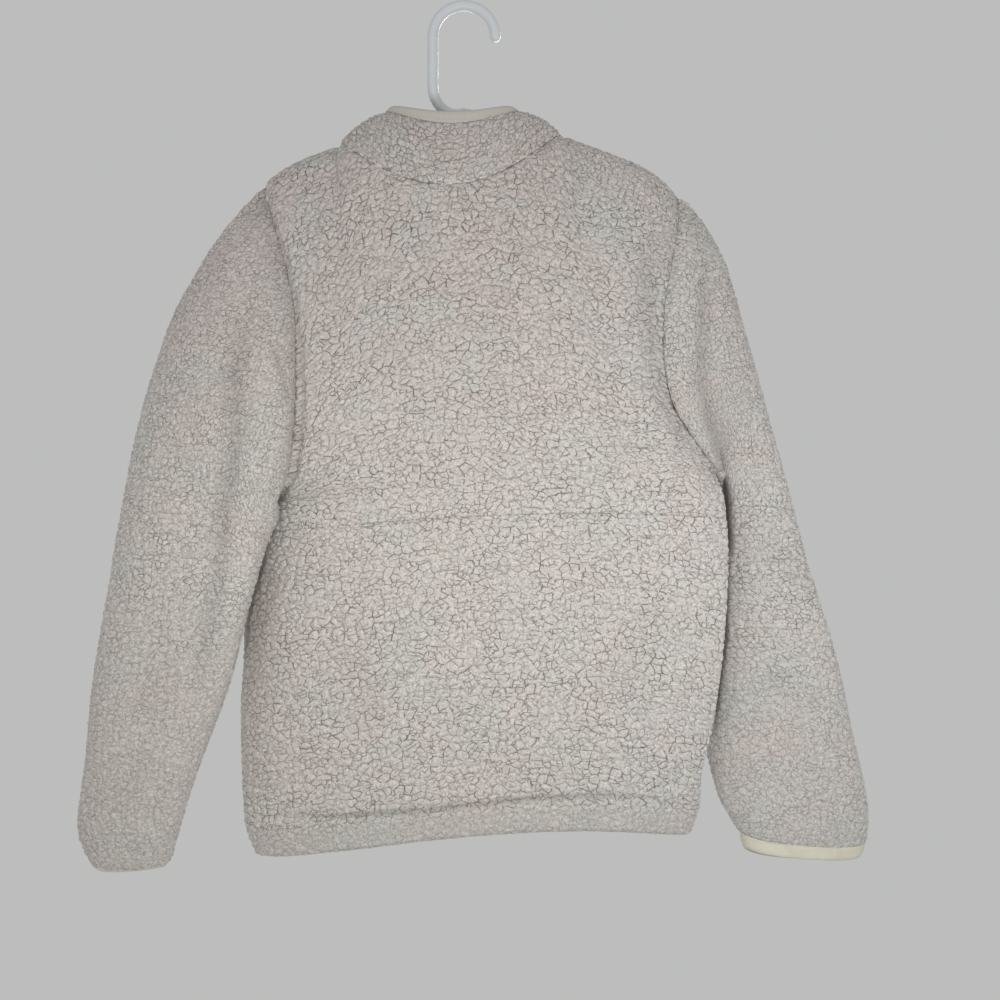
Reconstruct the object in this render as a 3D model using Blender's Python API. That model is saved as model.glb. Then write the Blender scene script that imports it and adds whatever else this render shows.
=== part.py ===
"""A fleece jacket hung on a tube clothes hanger, its back towards -Y.

Tables and functions work in millimetres; MM turns them into metres when a mesh is made.
The origin is the inner top of the hanger's hook, where a rail or nail carries it.
+X is the wearer's right, +Y leaves the jacket's front, +Z is up.
"""

import math
from collections import namedtuple

import bmesh
import bpy
import numpy as np
from mathutils import Matrix, Vector

MM = 0.001

# Cloth
FLEECE_WALL = 4.0
HEM_WALL = 5.5
BINDING_WALL = 3.0
BINDING_INSET = 0.7
SEAM_GAP = 0.3
TAPE_WALL = 0.9
# A seam folds in where its shared normal leans into the panel by more than this.
FOLDS_IN_FROM = 0.25

# Counts of faces
SHOULDER_FACES = 5
NECK_FACES = 16
ARMHOLE_FACES = 13
SLEEVE_ROWS = 20
SLEEVE_ROW_SPREAD = 1.15
COLLAR_ROWS = 5

# Zip
ZIP_OPENING = 14.0
TAPE_FROM_CENTRE = 3.1
TAPE_TO_CENTRE = 14.0
CHAIN_WIDTH = 5.4
CHAIN_THICKNESS = 2.6
CHAIN_BELOW_TOP = 12.0

# Hanger
HOOK_RADIUS = 28.1
TUBE_RADIUS = 4.75
TUBE_SIDES = 10
ARM_APEX_Z = -91.0
ARM_SLOPE = math.radians(20.3)
ARM_STRAIGHT_X = 142.0
SHOULDER_BEND_RADIUS = 70.0
SHOULDER_BEND_TO = math.radians(50)
END_RADIUS = 12.0

TrunkRow = namedtuple(
    "TrunkRow", "left_x left_y left_z right_x right_y right_z centre_x back_y front_y lift"
)
TRUNK_ROWS = (
    TrunkRow(-187, 4, -761, 203, -3, -741, 7, -31, 34, 15),
    TrunkRow(-198, 7, -734, 212, -6, -714, 6, -35, 38, 15),
    TrunkRow(-202, 12, -690, 213, -11, -683, 5, -38, 39, 13),
    TrunkRow(-204, 18, -635, 224, -17, -630, 3, -41, 38, 11),
    TrunkRow(-203, 20, -565, 232, -20, -560, 0, -44, 40, 9),
    TrunkRow(-200, 18, -508, 235, -21, -500, -3, -46, 41, 7),
    TrunkRow(-193, 8, -470, 234, -20, -456, -5, -47, 42, 8),
    TrunkRow(-182, -2, -444, 229, -8, -418, -6, -47, 42, 6),
)
TRUNK_STEPS = (2, 2, 2, 2, 2, 1, 1)
BACK_SEAM_ROW = 11
HEM_STITCH_ROW = 2

# An armhole seam runs from the shoulder over the back, and over the front, to the underarm.
ArmholeRow = namedtuple("ArmholeRow", "x y z")
LEFT_ARMHOLE_BACK = (
    ArmholeRow(-182.5, 0, -156.5),
    ArmholeRow(-174, -17, -182),
    ArmholeRow(-158, -29, -228),
    ArmholeRow(-148, -35, -264),
    ArmholeRow(-142, -39, -319),
    ArmholeRow(-143, -39, -386),
    ArmholeRow(-149, -36, -419),
    ArmholeRow(-157, -30, -434),
    ArmholeRow(-169, -22, -441),
    ArmholeRow(-177, -13, -443.5),
    ArmholeRow(-182, -2, -444),
)
LEFT_ARMHOLE_FRONT = (
    ArmholeRow(-182.5, 0, -156.5),
    ArmholeRow(-179, 17, -184),
    ArmholeRow(-171, 28, -225),
    ArmholeRow(-164, 34, -270),
    ArmholeRow(-162, 37, -325),
    ArmholeRow(-168, 34, -385),
    ArmholeRow(-174, 28, -412),
    ArmholeRow(-179, 20, -429),
    ArmholeRow(-182, 9, -440),
    ArmholeRow(-182, -2, -444),
)
RIGHT_ARMHOLE_BACK = (
    ArmholeRow(195, 0, -166),
    ArmholeRow(194, -15, -187),
    ArmholeRow(186, -29, -227),
    ArmholeRow(178, -36, -268),
    ArmholeRow(177, -39, -313),
    ArmholeRow(183, -37, -353),
    ArmholeRow(205, -29, -390),
    ArmholeRow(218, -23, -407),
    ArmholeRow(226, -15, -415.5),
    ArmholeRow(229, -8, -418),
)
RIGHT_ARMHOLE_FRONT = (
    ArmholeRow(195, 0, -166),
    ArmholeRow(192, 16, -188),
    ArmholeRow(184, 27, -228),
    ArmholeRow(176, 33, -270),
    ArmholeRow(174, 35, -318),
    ArmholeRow(182, 31, -362),
    ArmholeRow(202, 20, -396),
    ArmholeRow(217, 12, -411),
    ArmholeRow(226, 2, -417),
    ArmholeRow(229, -8, -418),
)

# The shoulder ridge, from the armhole to the neck.
RidgeRow = namedtuple("RidgeRow", "x z")
LEFT_RIDGE = (
    RidgeRow(-182.5, -156.5),
    RidgeRow(-171.5, -148.0),
    RidgeRow(-154.5, -137.0),
    RidgeRow(-134.5, -128.5),
    RidgeRow(-112.5, -120.5),
)
RIGHT_RIDGE = (
    RidgeRow(195.0, -166.0),
    RidgeRow(181.5, -154.0),
    RidgeRow(164.5, -141.5),
    RidgeRow(142.5, -131.5),
    RidgeRow(116.5, -121.8),
    RidgeRow(88.5, -112.0),
)

# The neck seam and the collar's edge are rings; sag is how far the middle lies below the sides.
NeckRing = namedtuple("NeckRing", "left_x left_z right_x right_z back_y back_sag front_y front_sag")
NECK_SEAM = NeckRing(-112.5, -120.5, 88.5, -112.0, -48, 52, 50, 76)
COLLAR_EDGE = NeckRing(-71, -92.5, 51, -92.5, -40, 20, 40, 36)
BINDING_EDGE = NeckRing(-68, -87.5, 47, -87.5, -38, 14, 38, 29)
NECK_CENTRE_X = -9.5
COLLAR_BULGE = 4.0
SAG_POWER = 2.2

SleeveRow = namedtuple(
    "SleeveRow", "outer_x outer_y outer_z inner_x inner_y inner_z half_depth front_drop"
)
LEFT_SLEEVE_ROWS = (
    SleeveRow(-182.5, 0, -156.5, -161.5, -27, -437.5, 38, 0),
    SleeveRow(-210, -3, -191, -157, -37, -444, 37, 0),
    SleeveRow(-235, -7, -229, -156, -46, -452, 36, 0),
    SleeveRow(-259, -12, -277, -160, -52, -462, 35, 0),
    SleeveRow(-278, -17, -337, -165, -54, -472, 34, 0),
    SleeveRow(-289, -21, -391, -169, -54, -483, 33, 0),
    SleeveRow(-299, -24, -440, -173, -52, -496, 32, 0),
    SleeveRow(-306, -26, -489, -180, -50, -521, 31, 0),
    SleeveRow(-315, -27, -538, -189, -45, -551, 30, 0),
    SleeveRow(-323, -27, -588, -200, -38, -591, 29, 0),
    SleeveRow(-329, -26, -643, -220, -32, -646, 28, 0),
    SleeveRow(-334, -25, -694, -238, -28, -693, 27, 2),
    SleeveRow(-338, -24, -731, -249, -26, -726, 26, 4),
    SleeveRow(-328, -23, -757, -256, -25, -753, 21, 6),
)
LEFT_CUFF_ROW = SleeveRow(-322, -23, -766, -261, -25, -762, 16, 7)
RIGHT_SLEEVE_ROWS = (
    SleeveRow(195, 0, -166, 214, 14, -408, 38, 0),
    SleeveRow(218, 2, -192, 222, 20, -420, 37, 0),
    SleeveRow(238, 5, -232, 227, 28, -433, 36, 0),
    SleeveRow(253, 9, -283, 226, 36, -447, 34, 0),
    SleeveRow(268, 14, -329, 220, 43, -462, 32, 0),
    SleeveRow(281, 19, -379, 213, 48, -478, 31, 0),
    SleeveRow(297, 24, -427, 206, 52, -494, 30, 0),
    SleeveRow(310, 28, -479, 195, 54, -519, 30, 0),
    SleeveRow(325, 31, -527, 195, 52, -557, 30, 0),
    SleeveRow(345, 32, -589, 207, 47, -607, 29, 0),
    SleeveRow(357, 32, -651, 221, 41, -660, 28, 2),
    SleeveRow(370, 31, -709, 233, 36, -708, 27, 8),
    SleeveRow(373, 30, -741, 244, 33, -736, 26, 14),
    SleeveRow(370, 29, -753, 254, 31, -749, 24, 18),
)
RIGHT_CUFF_ROW = SleeveRow(366, 28, -765, 256, 30, -761, 23, 19)
# The point of each armhole where its sleeve's inner fold begins.
LEFT_FOLD_POINT = 11
RIGHT_FOLD_POINT = 15
SLEEVE_FLATNESS = 0.82
# Shares of the sleeve's length over which the armhole's shape fades into the sleeve's.
CAP_LENGTH = 0.36
CAP_AT_UNDERARM = 0.15
LEFT_PINCH = -0.5
RIGHT_PINCH = 0.5
PINCH_LENGTH = 0.25
# Below the armhole a sleeve stands off the trunk, over these shares of its length.
STAND_OFF = 10.0
STAND_OFF_FROM = 0.03
STAND_OFF_TO = 0.2
# How far below the shoulders the trunk still takes their shape.
SHOULDER_DROP = 140.0

# Slider and pull tab
SLIDER_WIDTH = 9.0
SLIDER_LENGTH = 13.0
SLIDER_PLATE = 1.4
SLIDER_CORNER = 1.5
SLIDER_POST_TOP = 4.0
SLIDER_POST_WIDTH = 4.0
BRIDGE_WIDTH = 2.0
BRIDGE_BAR = 1.3
BRIDGE_SPACE = 2.4
BRIDGE_LENGTH = 8.0
PULL_BAR = 1.4
PULL_WIDTH = 6.4
PULL_LENGTH = 27.0
PULL_THICKNESS = 1.2
PULL_EYE_LENGTH = 7.0


def clear_scene():
    for obj in list(bpy.data.objects):
        bpy.data.objects.remove(obj, do_unlink=True)


def material(name, colour, roughness):
    made = bpy.data.materials.new(name)
    made.use_nodes = True
    shader = made.node_tree.nodes["Principled BSDF"]
    shader.inputs["Base Color"].default_value = (*colour, 1)
    shader.inputs["Roughness"].default_value = roughness
    made.diffuse_color = (*colour, 1)
    return made


def fleece(name):
    return material(name, (0.58, 0.53, 0.49), 0.95)


def binding_cloth(name):
    return material(name, (0.68, 0.65, 0.52), 0.75)


def unit(vectors):
    return vectors / np.linalg.norm(vectors, axis=-1, keepdims=True)


def ease(share):
    share = np.clip(share, 0, 1)
    return share * share * (3 - 2 * share)


def lengths_along(points):
    steps = np.linalg.norm(np.diff(points, axis=0), axis=1)
    return np.concatenate([[0], np.cumsum(steps)])


def curve_through(points, knots, at):
    """A smooth curve through the points, one at each knot, read at the places in at."""
    points = np.asarray(points, float)
    knots = np.asarray(knots, float)
    slopes = np.gradient(points, knots, axis=0)
    place = np.clip(np.searchsorted(knots, at, side="right") - 1, 0, len(knots) - 2)
    span = (knots[place + 1] - knots[place])[:, None]
    t = ((at - knots[place])[:, None]) / span
    start, end = points[place], points[place + 1]
    start_slope, end_slope = slopes[place] * span, slopes[place + 1] * span
    return (
        (2 * t**3 - 3 * t**2 + 1) * start
        + (t**3 - 2 * t**2 + t) * start_slope
        + (3 * t**2 - 2 * t**3) * end
        + (t**3 - t**2) * end_slope
    )


def even_along(points, shares):
    """The smooth curve through the points, read at shares of its length."""
    points = np.asarray(points, float)
    knots = lengths_along(points)
    return curve_through(points, knots, np.asarray(shares) * knots[-1])


def armhole_shares():
    """Shares of the way from underarm to shoulder, closer together where the shoulder rounds over."""
    steps = np.linspace(0, 1, ARMHOLE_FACES)
    shares = 0.35 * steps + 0.65 * (1 - np.cos(steps * math.pi)) / 2
    return np.insert(shares, -1, (shares[-2] + 1) / 2)


def armhole_curve(rows):
    return even_along([tuple(row) for row in reversed(rows)], armhole_shares())


def ring_shape(ring, x_share, front):
    """Points of a neck ring; x_share runs from -1 at the left side to 1 at the right."""
    x_share = np.asarray(x_share)
    half_left = NECK_CENTRE_X - ring.left_x
    half_right = ring.right_x - NECK_CENTRE_X
    depth = np.sqrt(np.clip(1 - x_share**2, 0, 1))
    x = NECK_CENTRE_X + np.where(x_share < 0, half_left, half_right) * x_share
    y = depth * (ring.front_y if front else ring.back_y)
    side_z = ring.left_z + (ring.right_z - ring.left_z) * (x_share + 1) / 2
    sag = ring.front_sag if front else ring.back_sag
    return np.stack([x, y, side_z - sag * depth**SAG_POWER], axis=-1)


def neck_shares(front):
    """Where the neck's columns fall across the ring; the front has two beside the zip."""
    if not front:
        return -np.cos(np.linspace(0, math.pi, NECK_FACES + 1))
    half = -np.cos(np.linspace(0, math.pi / 2, NECK_FACES // 2 + 1))
    half[-1] = -ZIP_OPENING / 2 / (NECK_CENTRE_X - NECK_SEAM.left_x)
    return np.concatenate([half, -half[::-1]])


def top_line(front):
    """The panel's top edge: left shoulder ridge, neck seam, right shoulder ridge."""
    steps = np.linspace(0, 1, SHOULDER_FACES + 1)
    left = even_along([(row.x, 0, row.z) for row in LEFT_RIDGE], steps)
    right = even_along([(row.x, 0, row.z) for row in reversed(RIGHT_RIDGE)], steps)
    neck = ring_shape(NECK_SEAM, neck_shares(front), front)
    return np.concatenate([left[:-1], neck, right[1:]])


def trunk_table():
    """Trunk rows at every step from the hem to the underarm."""
    rows = np.array(TRUNK_ROWS, float)
    knots = np.arange(len(rows))
    places = [0.0]
    for row, steps in enumerate(TRUNK_STEPS):
        places += [row + (step + 1) / steps for step in range(steps)]
    return [TrunkRow(*values) for values in curve_through(rows, knots, np.array(places))]


def column_shares(front, height):
    """Each column's place across a row, from -1 to 1; height is 1 at the shoulders."""
    top = top_line(front)[:, 0]
    left, right = NECK_CENTRE_X - top[0], top[-1] - NECK_CENTRE_X
    at_top = np.where(top < NECK_CENTRE_X, (top - NECK_CENTRE_X) / left, (top - NECK_CENTRE_X) / right)
    below = np.sin(np.linspace(-math.pi / 2, math.pi / 2, len(top)))
    if front:
        middle = len(top) // 2
        below[:middle] = np.sin(np.linspace(-math.pi / 2, 0, middle))
        below[middle:] = np.sin(np.linspace(0, math.pi / 2, len(top) - middle))
        below[middle - 1] = -ZIP_OPENING / 2 / 200
        below[middle] = ZIP_OPENING / 2 / 200
    return below + (at_top - below) * height


def section_y(shares, left_y, right_y, middle_y):
    """How far out a level section stands, from its left edge at -1 to its right edge at 1."""
    end_y = left_y + (right_y - left_y) * (shares + 1) / 2
    round_out = np.clip(1 - np.abs(shares) ** 2.8, 0, 1) ** 0.48
    return end_y + (middle_y - end_y) * round_out


def row_x(left_x, right_x, centre_x, shares):
    return centre_x + np.where(shares < 0, centre_x - left_x, right_x - centre_x) * shares


def row_points(left, right, centre_x, middle_y, lift, shares):
    """A panel row between its two ends, standing out to middle_y with rounded edges."""
    across = (shares + 1) / 2
    x = row_x(left[0], right[0], centre_x, shares)
    y = section_y(shares, left[1], right[1], middle_y)
    z = left[2] + (right[2] - left[2]) * across + lift * (1 - shares**2) * (1 + shares / 2)
    return np.stack([x, y, z], axis=-1)


def underarm_y(row, x, front):
    """How far out the trunk stands at this x, on its section between the underarms."""
    reach = np.where(x < row.centre_x, row.centre_x - row.left_x, row.right_x - row.centre_x)
    shares = np.clip((x - row.centre_x) / reach, -1, 1)
    return section_y(shares, row.left_y, row.right_y, row.front_y if front else row.back_y)


def panel_grid(front):
    """Points of the whole back or the whole front, a row for each height from the hem up."""
    rows = trunk_table()
    grid = []
    for row in rows:
        left = (row.left_x, row.left_y, row.left_z)
        right = (row.right_x, row.right_y, row.right_z)
        middle_y = row.front_y if front else row.back_y
        shares = column_shares(front, 0)
        grid.append(row_points(left, right, row.centre_x, middle_y, row.lift, shares))
    last = rows[-1]
    middle_y = last.front_y if front else last.back_y
    left_ends = armhole_curve(LEFT_ARMHOLE_FRONT if front else LEFT_ARMHOLE_BACK)
    right_ends = armhole_curve(RIGHT_ARMHOLE_FRONT if front else RIGHT_ARMHOLE_BACK)
    top = top_line(front)
    steps = np.linspace(0, 1, ARMHOLE_FACES + 1)[1:-1]
    for step, left, right in zip(steps, left_ends[1:-1], right_ends[1:-1]):
        drop = (top[0, 2] + top[-1, 2] - left[2] - right[2]) / 2
        height = max(0, 1 - drop / SHOULDER_DROP)
        shares = column_shares(front, ease(step))
        centre_x = last.centre_x + (NECK_CENTRE_X - last.centre_x) * step
        points = row_points(left, right, centre_x, middle_y, last.lift * (1 - step), shares)
        points[:, 1] = underarm_y(last, points[:, 0], front)
        for end, reach in ((left, -shares), (right, shares)):
            gap = end[1] - underarm_y(last, end[0], front)
            points[:, 1] += gap * np.clip(reach, 0, 1) ** 4
        straight_z = top[0, 2] + (top[-1, 2] - top[0, 2]) * (shares + 1) / 2
        points[:, 2] += (top[:, 2] - straight_z) * height
        rounding = 1 - math.sqrt(1 - height**2)
        inside = 1 - np.abs(shares) ** 8
        points[:, 1] += (top[:, 1] - points[:, 1]) * rounding * inside
        grid.append(points)
    grid.append(top)
    return np.array(grid)


def sleeve_ring(row, angles, pinch=0.0):
    """A flattened ring of the sleeve; angle 0 is the outer edge and pi the underarm.

    A positive pinch flattens the back near the underarm and a negative one the front.
    """
    outer = np.array([row.outer_x, row.outer_y, row.outer_z])
    inner = np.array([row.inner_x, row.inner_y, row.inner_z])
    cosine, sine = np.cos(angles), np.sin(angles)
    along = np.sign(cosine) * np.abs(cosine) ** SLEEVE_FLATNESS
    out = np.sign(sine) * np.abs(sine) ** SLEEVE_FLATNESS
    pinched = np.where(sine * pinch > 0, abs(pinch), 0)
    out *= 1 - pinched * ((1 - cosine) / 2) ** 2
    points = (outer + inner) / 2 + (outer - inner) / 2 * along[:, None]
    points[:, 1] -= row.half_depth * out
    points[:, 2] += row.front_drop * np.minimum(out, 0)
    return points


def sleeve_grid(rows, armhole, away, fold_point, underarm_pinch):
    """Rings from the armhole seam to the cuff's edge."""
    table = np.array(rows, float)
    outer = lengths_along(table[:, 0:3])
    inner = lengths_along(table[:, 3:6])
    knots = outer / outer[-1] + inner / inner[-1]
    places = knots[-1] * np.linspace(0, 1, SLEEVE_ROWS + 1) ** SLEEVE_ROW_SPREAD
    smooth = [SleeveRow(*values) for values in curve_through(table, knots, places)]
    turn = ring_angles(fold_point)
    at_seam = armhole - sleeve_ring(smooth[0], turn, underarm_pinch)
    outward = (1 + np.cos(turn)) / 2
    cap = CAP_LENGTH * (CAP_AT_UNDERARM + (1 - CAP_AT_UNDERARM) * outward)
    stand_off = away * STAND_OFF * ((1 - outward) ** 2)[:, None]
    grid = []
    for row, place in zip(smooth, places / knots[-1]):
        pinch = underarm_pinch * (1 - ease(place / PINCH_LENGTH))
        still = 1 - ease(place / cap)
        beside_trunk = ease(place / STAND_OFF_FROM) * (1 - ease(place / STAND_OFF_TO))
        ring = sleeve_ring(row, turn, pinch)
        grid.append(ring + at_seam * still[:, None] + stand_off * beside_trunk)
    return np.array(grid), turn


def ring_angles(fold_point):
    """Angles round a sleeve, matched to the heights of the armhole's points, pi at one of them."""
    shares = armhole_shares()[::-1]
    back = np.arccos(np.clip(2 * shares - 1, -1, 1))
    front = 2 * math.pi - back[::-1]
    even = np.linspace(0, 2 * math.pi, len(back) + len(front) - 2, endpoint=False)
    angles = (np.concatenate([back[:-1], front[:-1]]) + even) / 2
    fold = angles[fold_point]
    return np.interp(angles, [0, fold, 2 * math.pi], [0, math.pi, 2 * math.pi])


def armhole_ring(back, front, column):
    """The armhole's points: shoulder, down the back to the underarm, up the front."""
    first = len(trunk_table()) - 1
    down = back[first:, column][::-1]
    up = front[first + 1 : -1, column]
    return np.concatenate([down, up])


def collar_row(share, front):
    """A ring of the collar between the neck seam and its top edge."""
    shares = neck_shares(front)
    low = ring_shape(NECK_SEAM, shares, front)
    high = ring_shape(COLLAR_EDGE, shares, front)
    rise = math.sin(share * math.pi / 2)
    points = low + (high - low) * share
    depth = np.sqrt(np.clip(1 - shares**2, 0, 1))
    upright = low[:, 2] + (high[:, 2] - low[:, 2]) * (share * depth + rise * (1 - depth))
    points[:, 2] = upright
    puff = COLLAR_BULGE * math.sin(share * math.pi) * depth
    points[:, 1] += puff if front else -puff
    return points


def full_ring(back, front):
    """One ring from the left side over the back, then over the front from right to left."""
    return np.concatenate([back, front[::-1][1:-1]])


def collar_grid():
    rows = []
    for share in np.linspace(0, 1, COLLAR_ROWS + 1):
        rows.append(full_ring(collar_row(share, False), collar_row(share, True)))
    return np.array(rows)


def binding_ring():
    back = ring_shape(BINDING_EDGE, neck_shares(False), False)
    front = ring_shape(BINDING_EDGE, neck_shares(True), True)
    return full_ring(back, front)


Panel = namedtuple("Panel", "name grid ring flip wall inset")


def opened_at_zip(ring_grid):
    """A closed neck grid cut open at the zip, starting beside it on the left."""
    count = ring_grid.shape[1]
    start = count - NECK_FACES // 2
    order = [(start + step) % count for step in range(count)]
    return ring_grid[:, order]


def surface_normals(panels):
    """Outward normals shared by the panels, keyed by place."""
    sums = {}
    for panel in panels:
        grid = panel.grid
        if panel.ring:
            grid = np.concatenate([grid, grid[:, :1]], axis=1)
        a, b = grid[:-1, :-1], grid[:-1, 1:]
        c, d = grid[1:, 1:], grid[1:, :-1]
        normals = np.cross(c - a, d - b)
        if panel.flip:
            normals = -normals
        for corner in (a, b, c, d):
            for place, normal in zip(corner.reshape(-1, 3), normals.reshape(-1, 3)):
                key = tuple(np.round(place, 4))
                sums[key] = sums.get(key, 0) + normal
    return sums


def grid_normals(grid, sums):
    normals = [sums[tuple(np.round(place, 4))] for place in grid.reshape(-1, 3)]
    return unit(np.array(normals).reshape(grid.shape))


def along_edge(points, closed):
    """Unit direction along a line of points at each of them."""
    if closed:
        return unit(np.roll(points, -1, axis=0) - np.roll(points, 1, axis=0))
    return unit(np.gradient(points, axis=0))


def inward_from_edges(panel, normals):
    """For each edge of a panel: where it lies in the grid, and unit steps from it into the panel."""
    grid = panel.grid
    sign = -1 if panel.flip else 1
    edges = [
        (np.s_[0], sign * np.cross(normals[0], along_edge(grid[0], panel.ring))),
        (np.s_[-1], -sign * np.cross(normals[-1], along_edge(grid[-1], panel.ring))),
    ]
    if not panel.ring:
        left, right = along_edge(grid[:, 0], False), along_edge(grid[:, -1], False)
        edges.append((np.s_[:, 0], sign * np.cross(left, normals[:, 0])))
        edges.append((np.s_[:, -1], -sign * np.cross(right, normals[:, -1])))
    return edges


def pulled_from_seams(panel, normals):
    """The panel's grid with each edge drawn in by half a seam gap, square to the edge."""
    pulled = panel.grid.copy()
    for edge, inward in inward_from_edges(panel, normals):
        pulled[edge] += SEAM_GAP / 2 * inward
    return pulled


def wall_normals(panel, sums):
    """A panel's normals: shared along a seam that stands out, its own in one that folds in."""
    normals = grid_normals(panel.grid, sums)
    own = grid_normals(panel.grid, surface_normals([panel]))
    for edge, inward in inward_from_edges(panel, own):
        folds_in = (inward * normals[edge]).sum(axis=-1, keepdims=True) > FOLDS_IN_FROM
        normals[edge] = np.where(folds_in, own[edge], normals[edge])
    return normals


def per_row(values, rows):
    """A number, or a number for each row, as an array that multiplies a grid of points."""
    return np.broadcast_to(np.asarray(values, float).reshape(-1, 1, 1), (rows, 1, 1))


def wall_object(panel, normals, finish):
    """A panel's closed wall: its outer grid, an inner grid and the rims between them."""
    rows, columns = panel.grid.shape[:2]
    outer = pulled_from_seams(panel, normals) - normals * per_row(panel.inset, rows)
    inner = outer - normals * per_row(panel.wall, rows)
    last = columns if panel.ring else columns - 1
    mesh = bmesh.new()
    sides = []
    for grid in (outer, inner):
        sides.append([[mesh.verts.new(point * MM) for point in row] for row in grid])

    def face(corners):
        mesh.faces.new(corners[::-1] if panel.flip else corners)

    top, bottom = sides
    for row in range(rows - 1):
        for column in range(last):
            across = (column + 1) % columns
            face([top[row][column], top[row][across], top[row + 1][across], top[row + 1][column]])
            face(
                [
                    bottom[row][column],
                    bottom[row + 1][column],
                    bottom[row + 1][across],
                    bottom[row][across],
                ]
            )
    for column in range(last):
        across = (column + 1) % columns
        face([top[0][column], bottom[0][column], bottom[0][across], top[0][across]])
        face([top[-1][column], top[-1][across], bottom[-1][across], bottom[-1][column]])
    if not panel.ring:
        for row in range(rows - 1):
            face([top[row][0], top[row + 1][0], bottom[row + 1][0], bottom[row][0]])
            face([top[row][-1], bottom[row][-1], bottom[row + 1][-1], top[row + 1][-1]])
    bmesh.ops.triangulate(mesh, faces=mesh.faces, quad_method="SHORT_EDGE")
    return mesh_object(panel.name, mesh, finish)


def mesh_object(name, mesh, finish):
    """The bmesh as a smooth-shaded object with its material."""
    data = bpy.data.meshes.new(name)
    mesh.to_mesh(data)
    mesh.free()
    data.materials.append(finish)
    data.shade_smooth()
    data.set_sharp_from_angle(angle=math.radians(50))
    made = bpy.data.objects.new(name, data)
    bpy.context.scene.collection.objects.link(made)
    return made


def jacket_panels():
    """Every cloth panel of the jacket as a grid of its outer surface."""
    back = panel_grid(False)
    front = panel_grid(True)
    trunk = [
        Panel("back", back, False, False, FLEECE_WALL, 0),
        Panel("front", front, False, True, FLEECE_WALL, 0),
    ]
    sums = surface_normals(trunk)
    left_armhole = armhole_ring(back, front, 0)
    right_armhole = armhole_ring(back, front, -1)
    left_sleeve, left_turn = sleeve_grid(
        LEFT_SLEEVE_ROWS, left_armhole, grid_normals(left_armhole, sums), LEFT_FOLD_POINT, LEFT_PINCH
    )
    right_sleeve, right_turn = sleeve_grid(
        RIGHT_SLEEVE_ROWS,
        right_armhole,
        grid_normals(right_armhole, sums),
        RIGHT_FOLD_POINT,
        RIGHT_PINCH,
    )
    left_cuff = np.array([left_sleeve[-1], sleeve_ring(LEFT_CUFF_ROW, left_turn)])
    right_cuff = np.array([right_sleeve[-1], sleeve_ring(RIGHT_CUFF_ROW, right_turn)])
    collar = collar_grid()
    edge = np.array([collar[-1], binding_ring()])
    middle = front.shape[1] // 2
    walls = np.full(len(back), FLEECE_WALL)
    walls[: HEM_STITCH_ROW + 1] = HEM_WALL
    collar_open = opened_at_zip(collar)
    edge_open = opened_at_zip(edge)
    low, high = slice(0, BACK_SEAM_ROW + 1), slice(BACK_SEAM_ROW, None)
    return [
        Panel("back_lower", back[low], False, False, walls[low], 0),
        Panel("back_upper", back[high], False, False, walls[high], 0),
        Panel("left_front", front[:, :middle], False, True, walls, 0),
        Panel("right_front", front[:, middle:], False, True, walls, 0),
        Panel("left_sleeve", left_sleeve, True, True, FLEECE_WALL, 0),
        Panel("right_sleeve", right_sleeve, True, False, FLEECE_WALL, 0),
        Panel("collar", collar_open, False, False, FLEECE_WALL, 0),
        Panel("collar_binding", edge_open, False, False, BINDING_WALL, BINDING_INSET),
        Panel("left_cuff_binding", left_cuff, True, True, BINDING_WALL, BINDING_INSET),
        Panel("right_cuff_binding", right_cuff, True, False, BINDING_WALL, BINDING_INSET),
    ]


def zip_rows(panels, sums):
    """The front opening from hem to collar edge: points, normals and wall by row.

    The columns run across the opening: the next column of the left panel, its edge, the
    middle, the right panel's edge and its next column.
    """
    named = {panel.name: panel for panel in panels}
    points, normals, walls = [], [], []
    left, right = named["left_front"], named["right_front"]
    collar = named["collar"]
    fleece_walls = np.full(len(collar.grid), FLEECE_WALL)
    sides = (
        (left.grid[:, [-2, -1]], right.grid[:, [0, 1]], left.wall, 0),
        (collar.grid[:, [1, 0]], collar.grid[:, [-1, -2]], fleece_walls, 1),
    )
    for left_pair, right_pair, pair_walls, first in sides:
        left_normals = grid_normals(left_pair, sums)
        right_normals = grid_normals(right_pair, sums)
        for row in range(first, len(left_pair)):
            middle = (left_pair[row, 1] + right_pair[row, 0]) / 2
            middle_normal = unit(left_normals[row, 1] + right_normals[row, 0])
            points.append([*left_pair[row], middle, *right_pair[row]])
            normals.append([*left_normals[row], middle_normal, *right_normals[row]])
            walls.append(pair_walls[row])
    return np.array(points), np.array(normals), np.array(walls)


def at_distance(points, normals, distance):
    """Points and normals this far across from the opening's middle, negative to the left."""
    side = 1 if distance > 0 else -1
    middle, edge, beyond = points[:, 2], points[:, 2 + side], points[:, 2 + 2 * side]
    half = np.linalg.norm(edge - middle, axis=1)[:, None]
    step = np.linalg.norm(beyond - edge, axis=1)[:, None]
    inside = np.clip(abs(distance) / half, 0, 1)
    outside = np.clip((abs(distance) - half) / step, 0, None)
    place = middle + (edge - middle) * inside + (beyond - edge) * outside
    edge_normal, beyond_normal = normals[:, 2 + side], normals[:, 2 + 2 * side]
    normal = normals[:, 2] + (edge_normal - normals[:, 2]) * inside
    return place, normal + (beyond_normal - edge_normal) * outside


def strip(name, opening, distances, inset, wall):
    """A strip of the zip that follows the front opening at these distances across it."""
    points, normals, _ = opening
    columns = [at_distance(points, normals, distance) for distance in distances]
    grid = np.stack([column[0] for column in columns], axis=1)
    grid_normal = np.stack([column[1] for column in columns], axis=1)
    return Panel(name, grid, False, True, wall, inset), grid_normal


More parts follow.
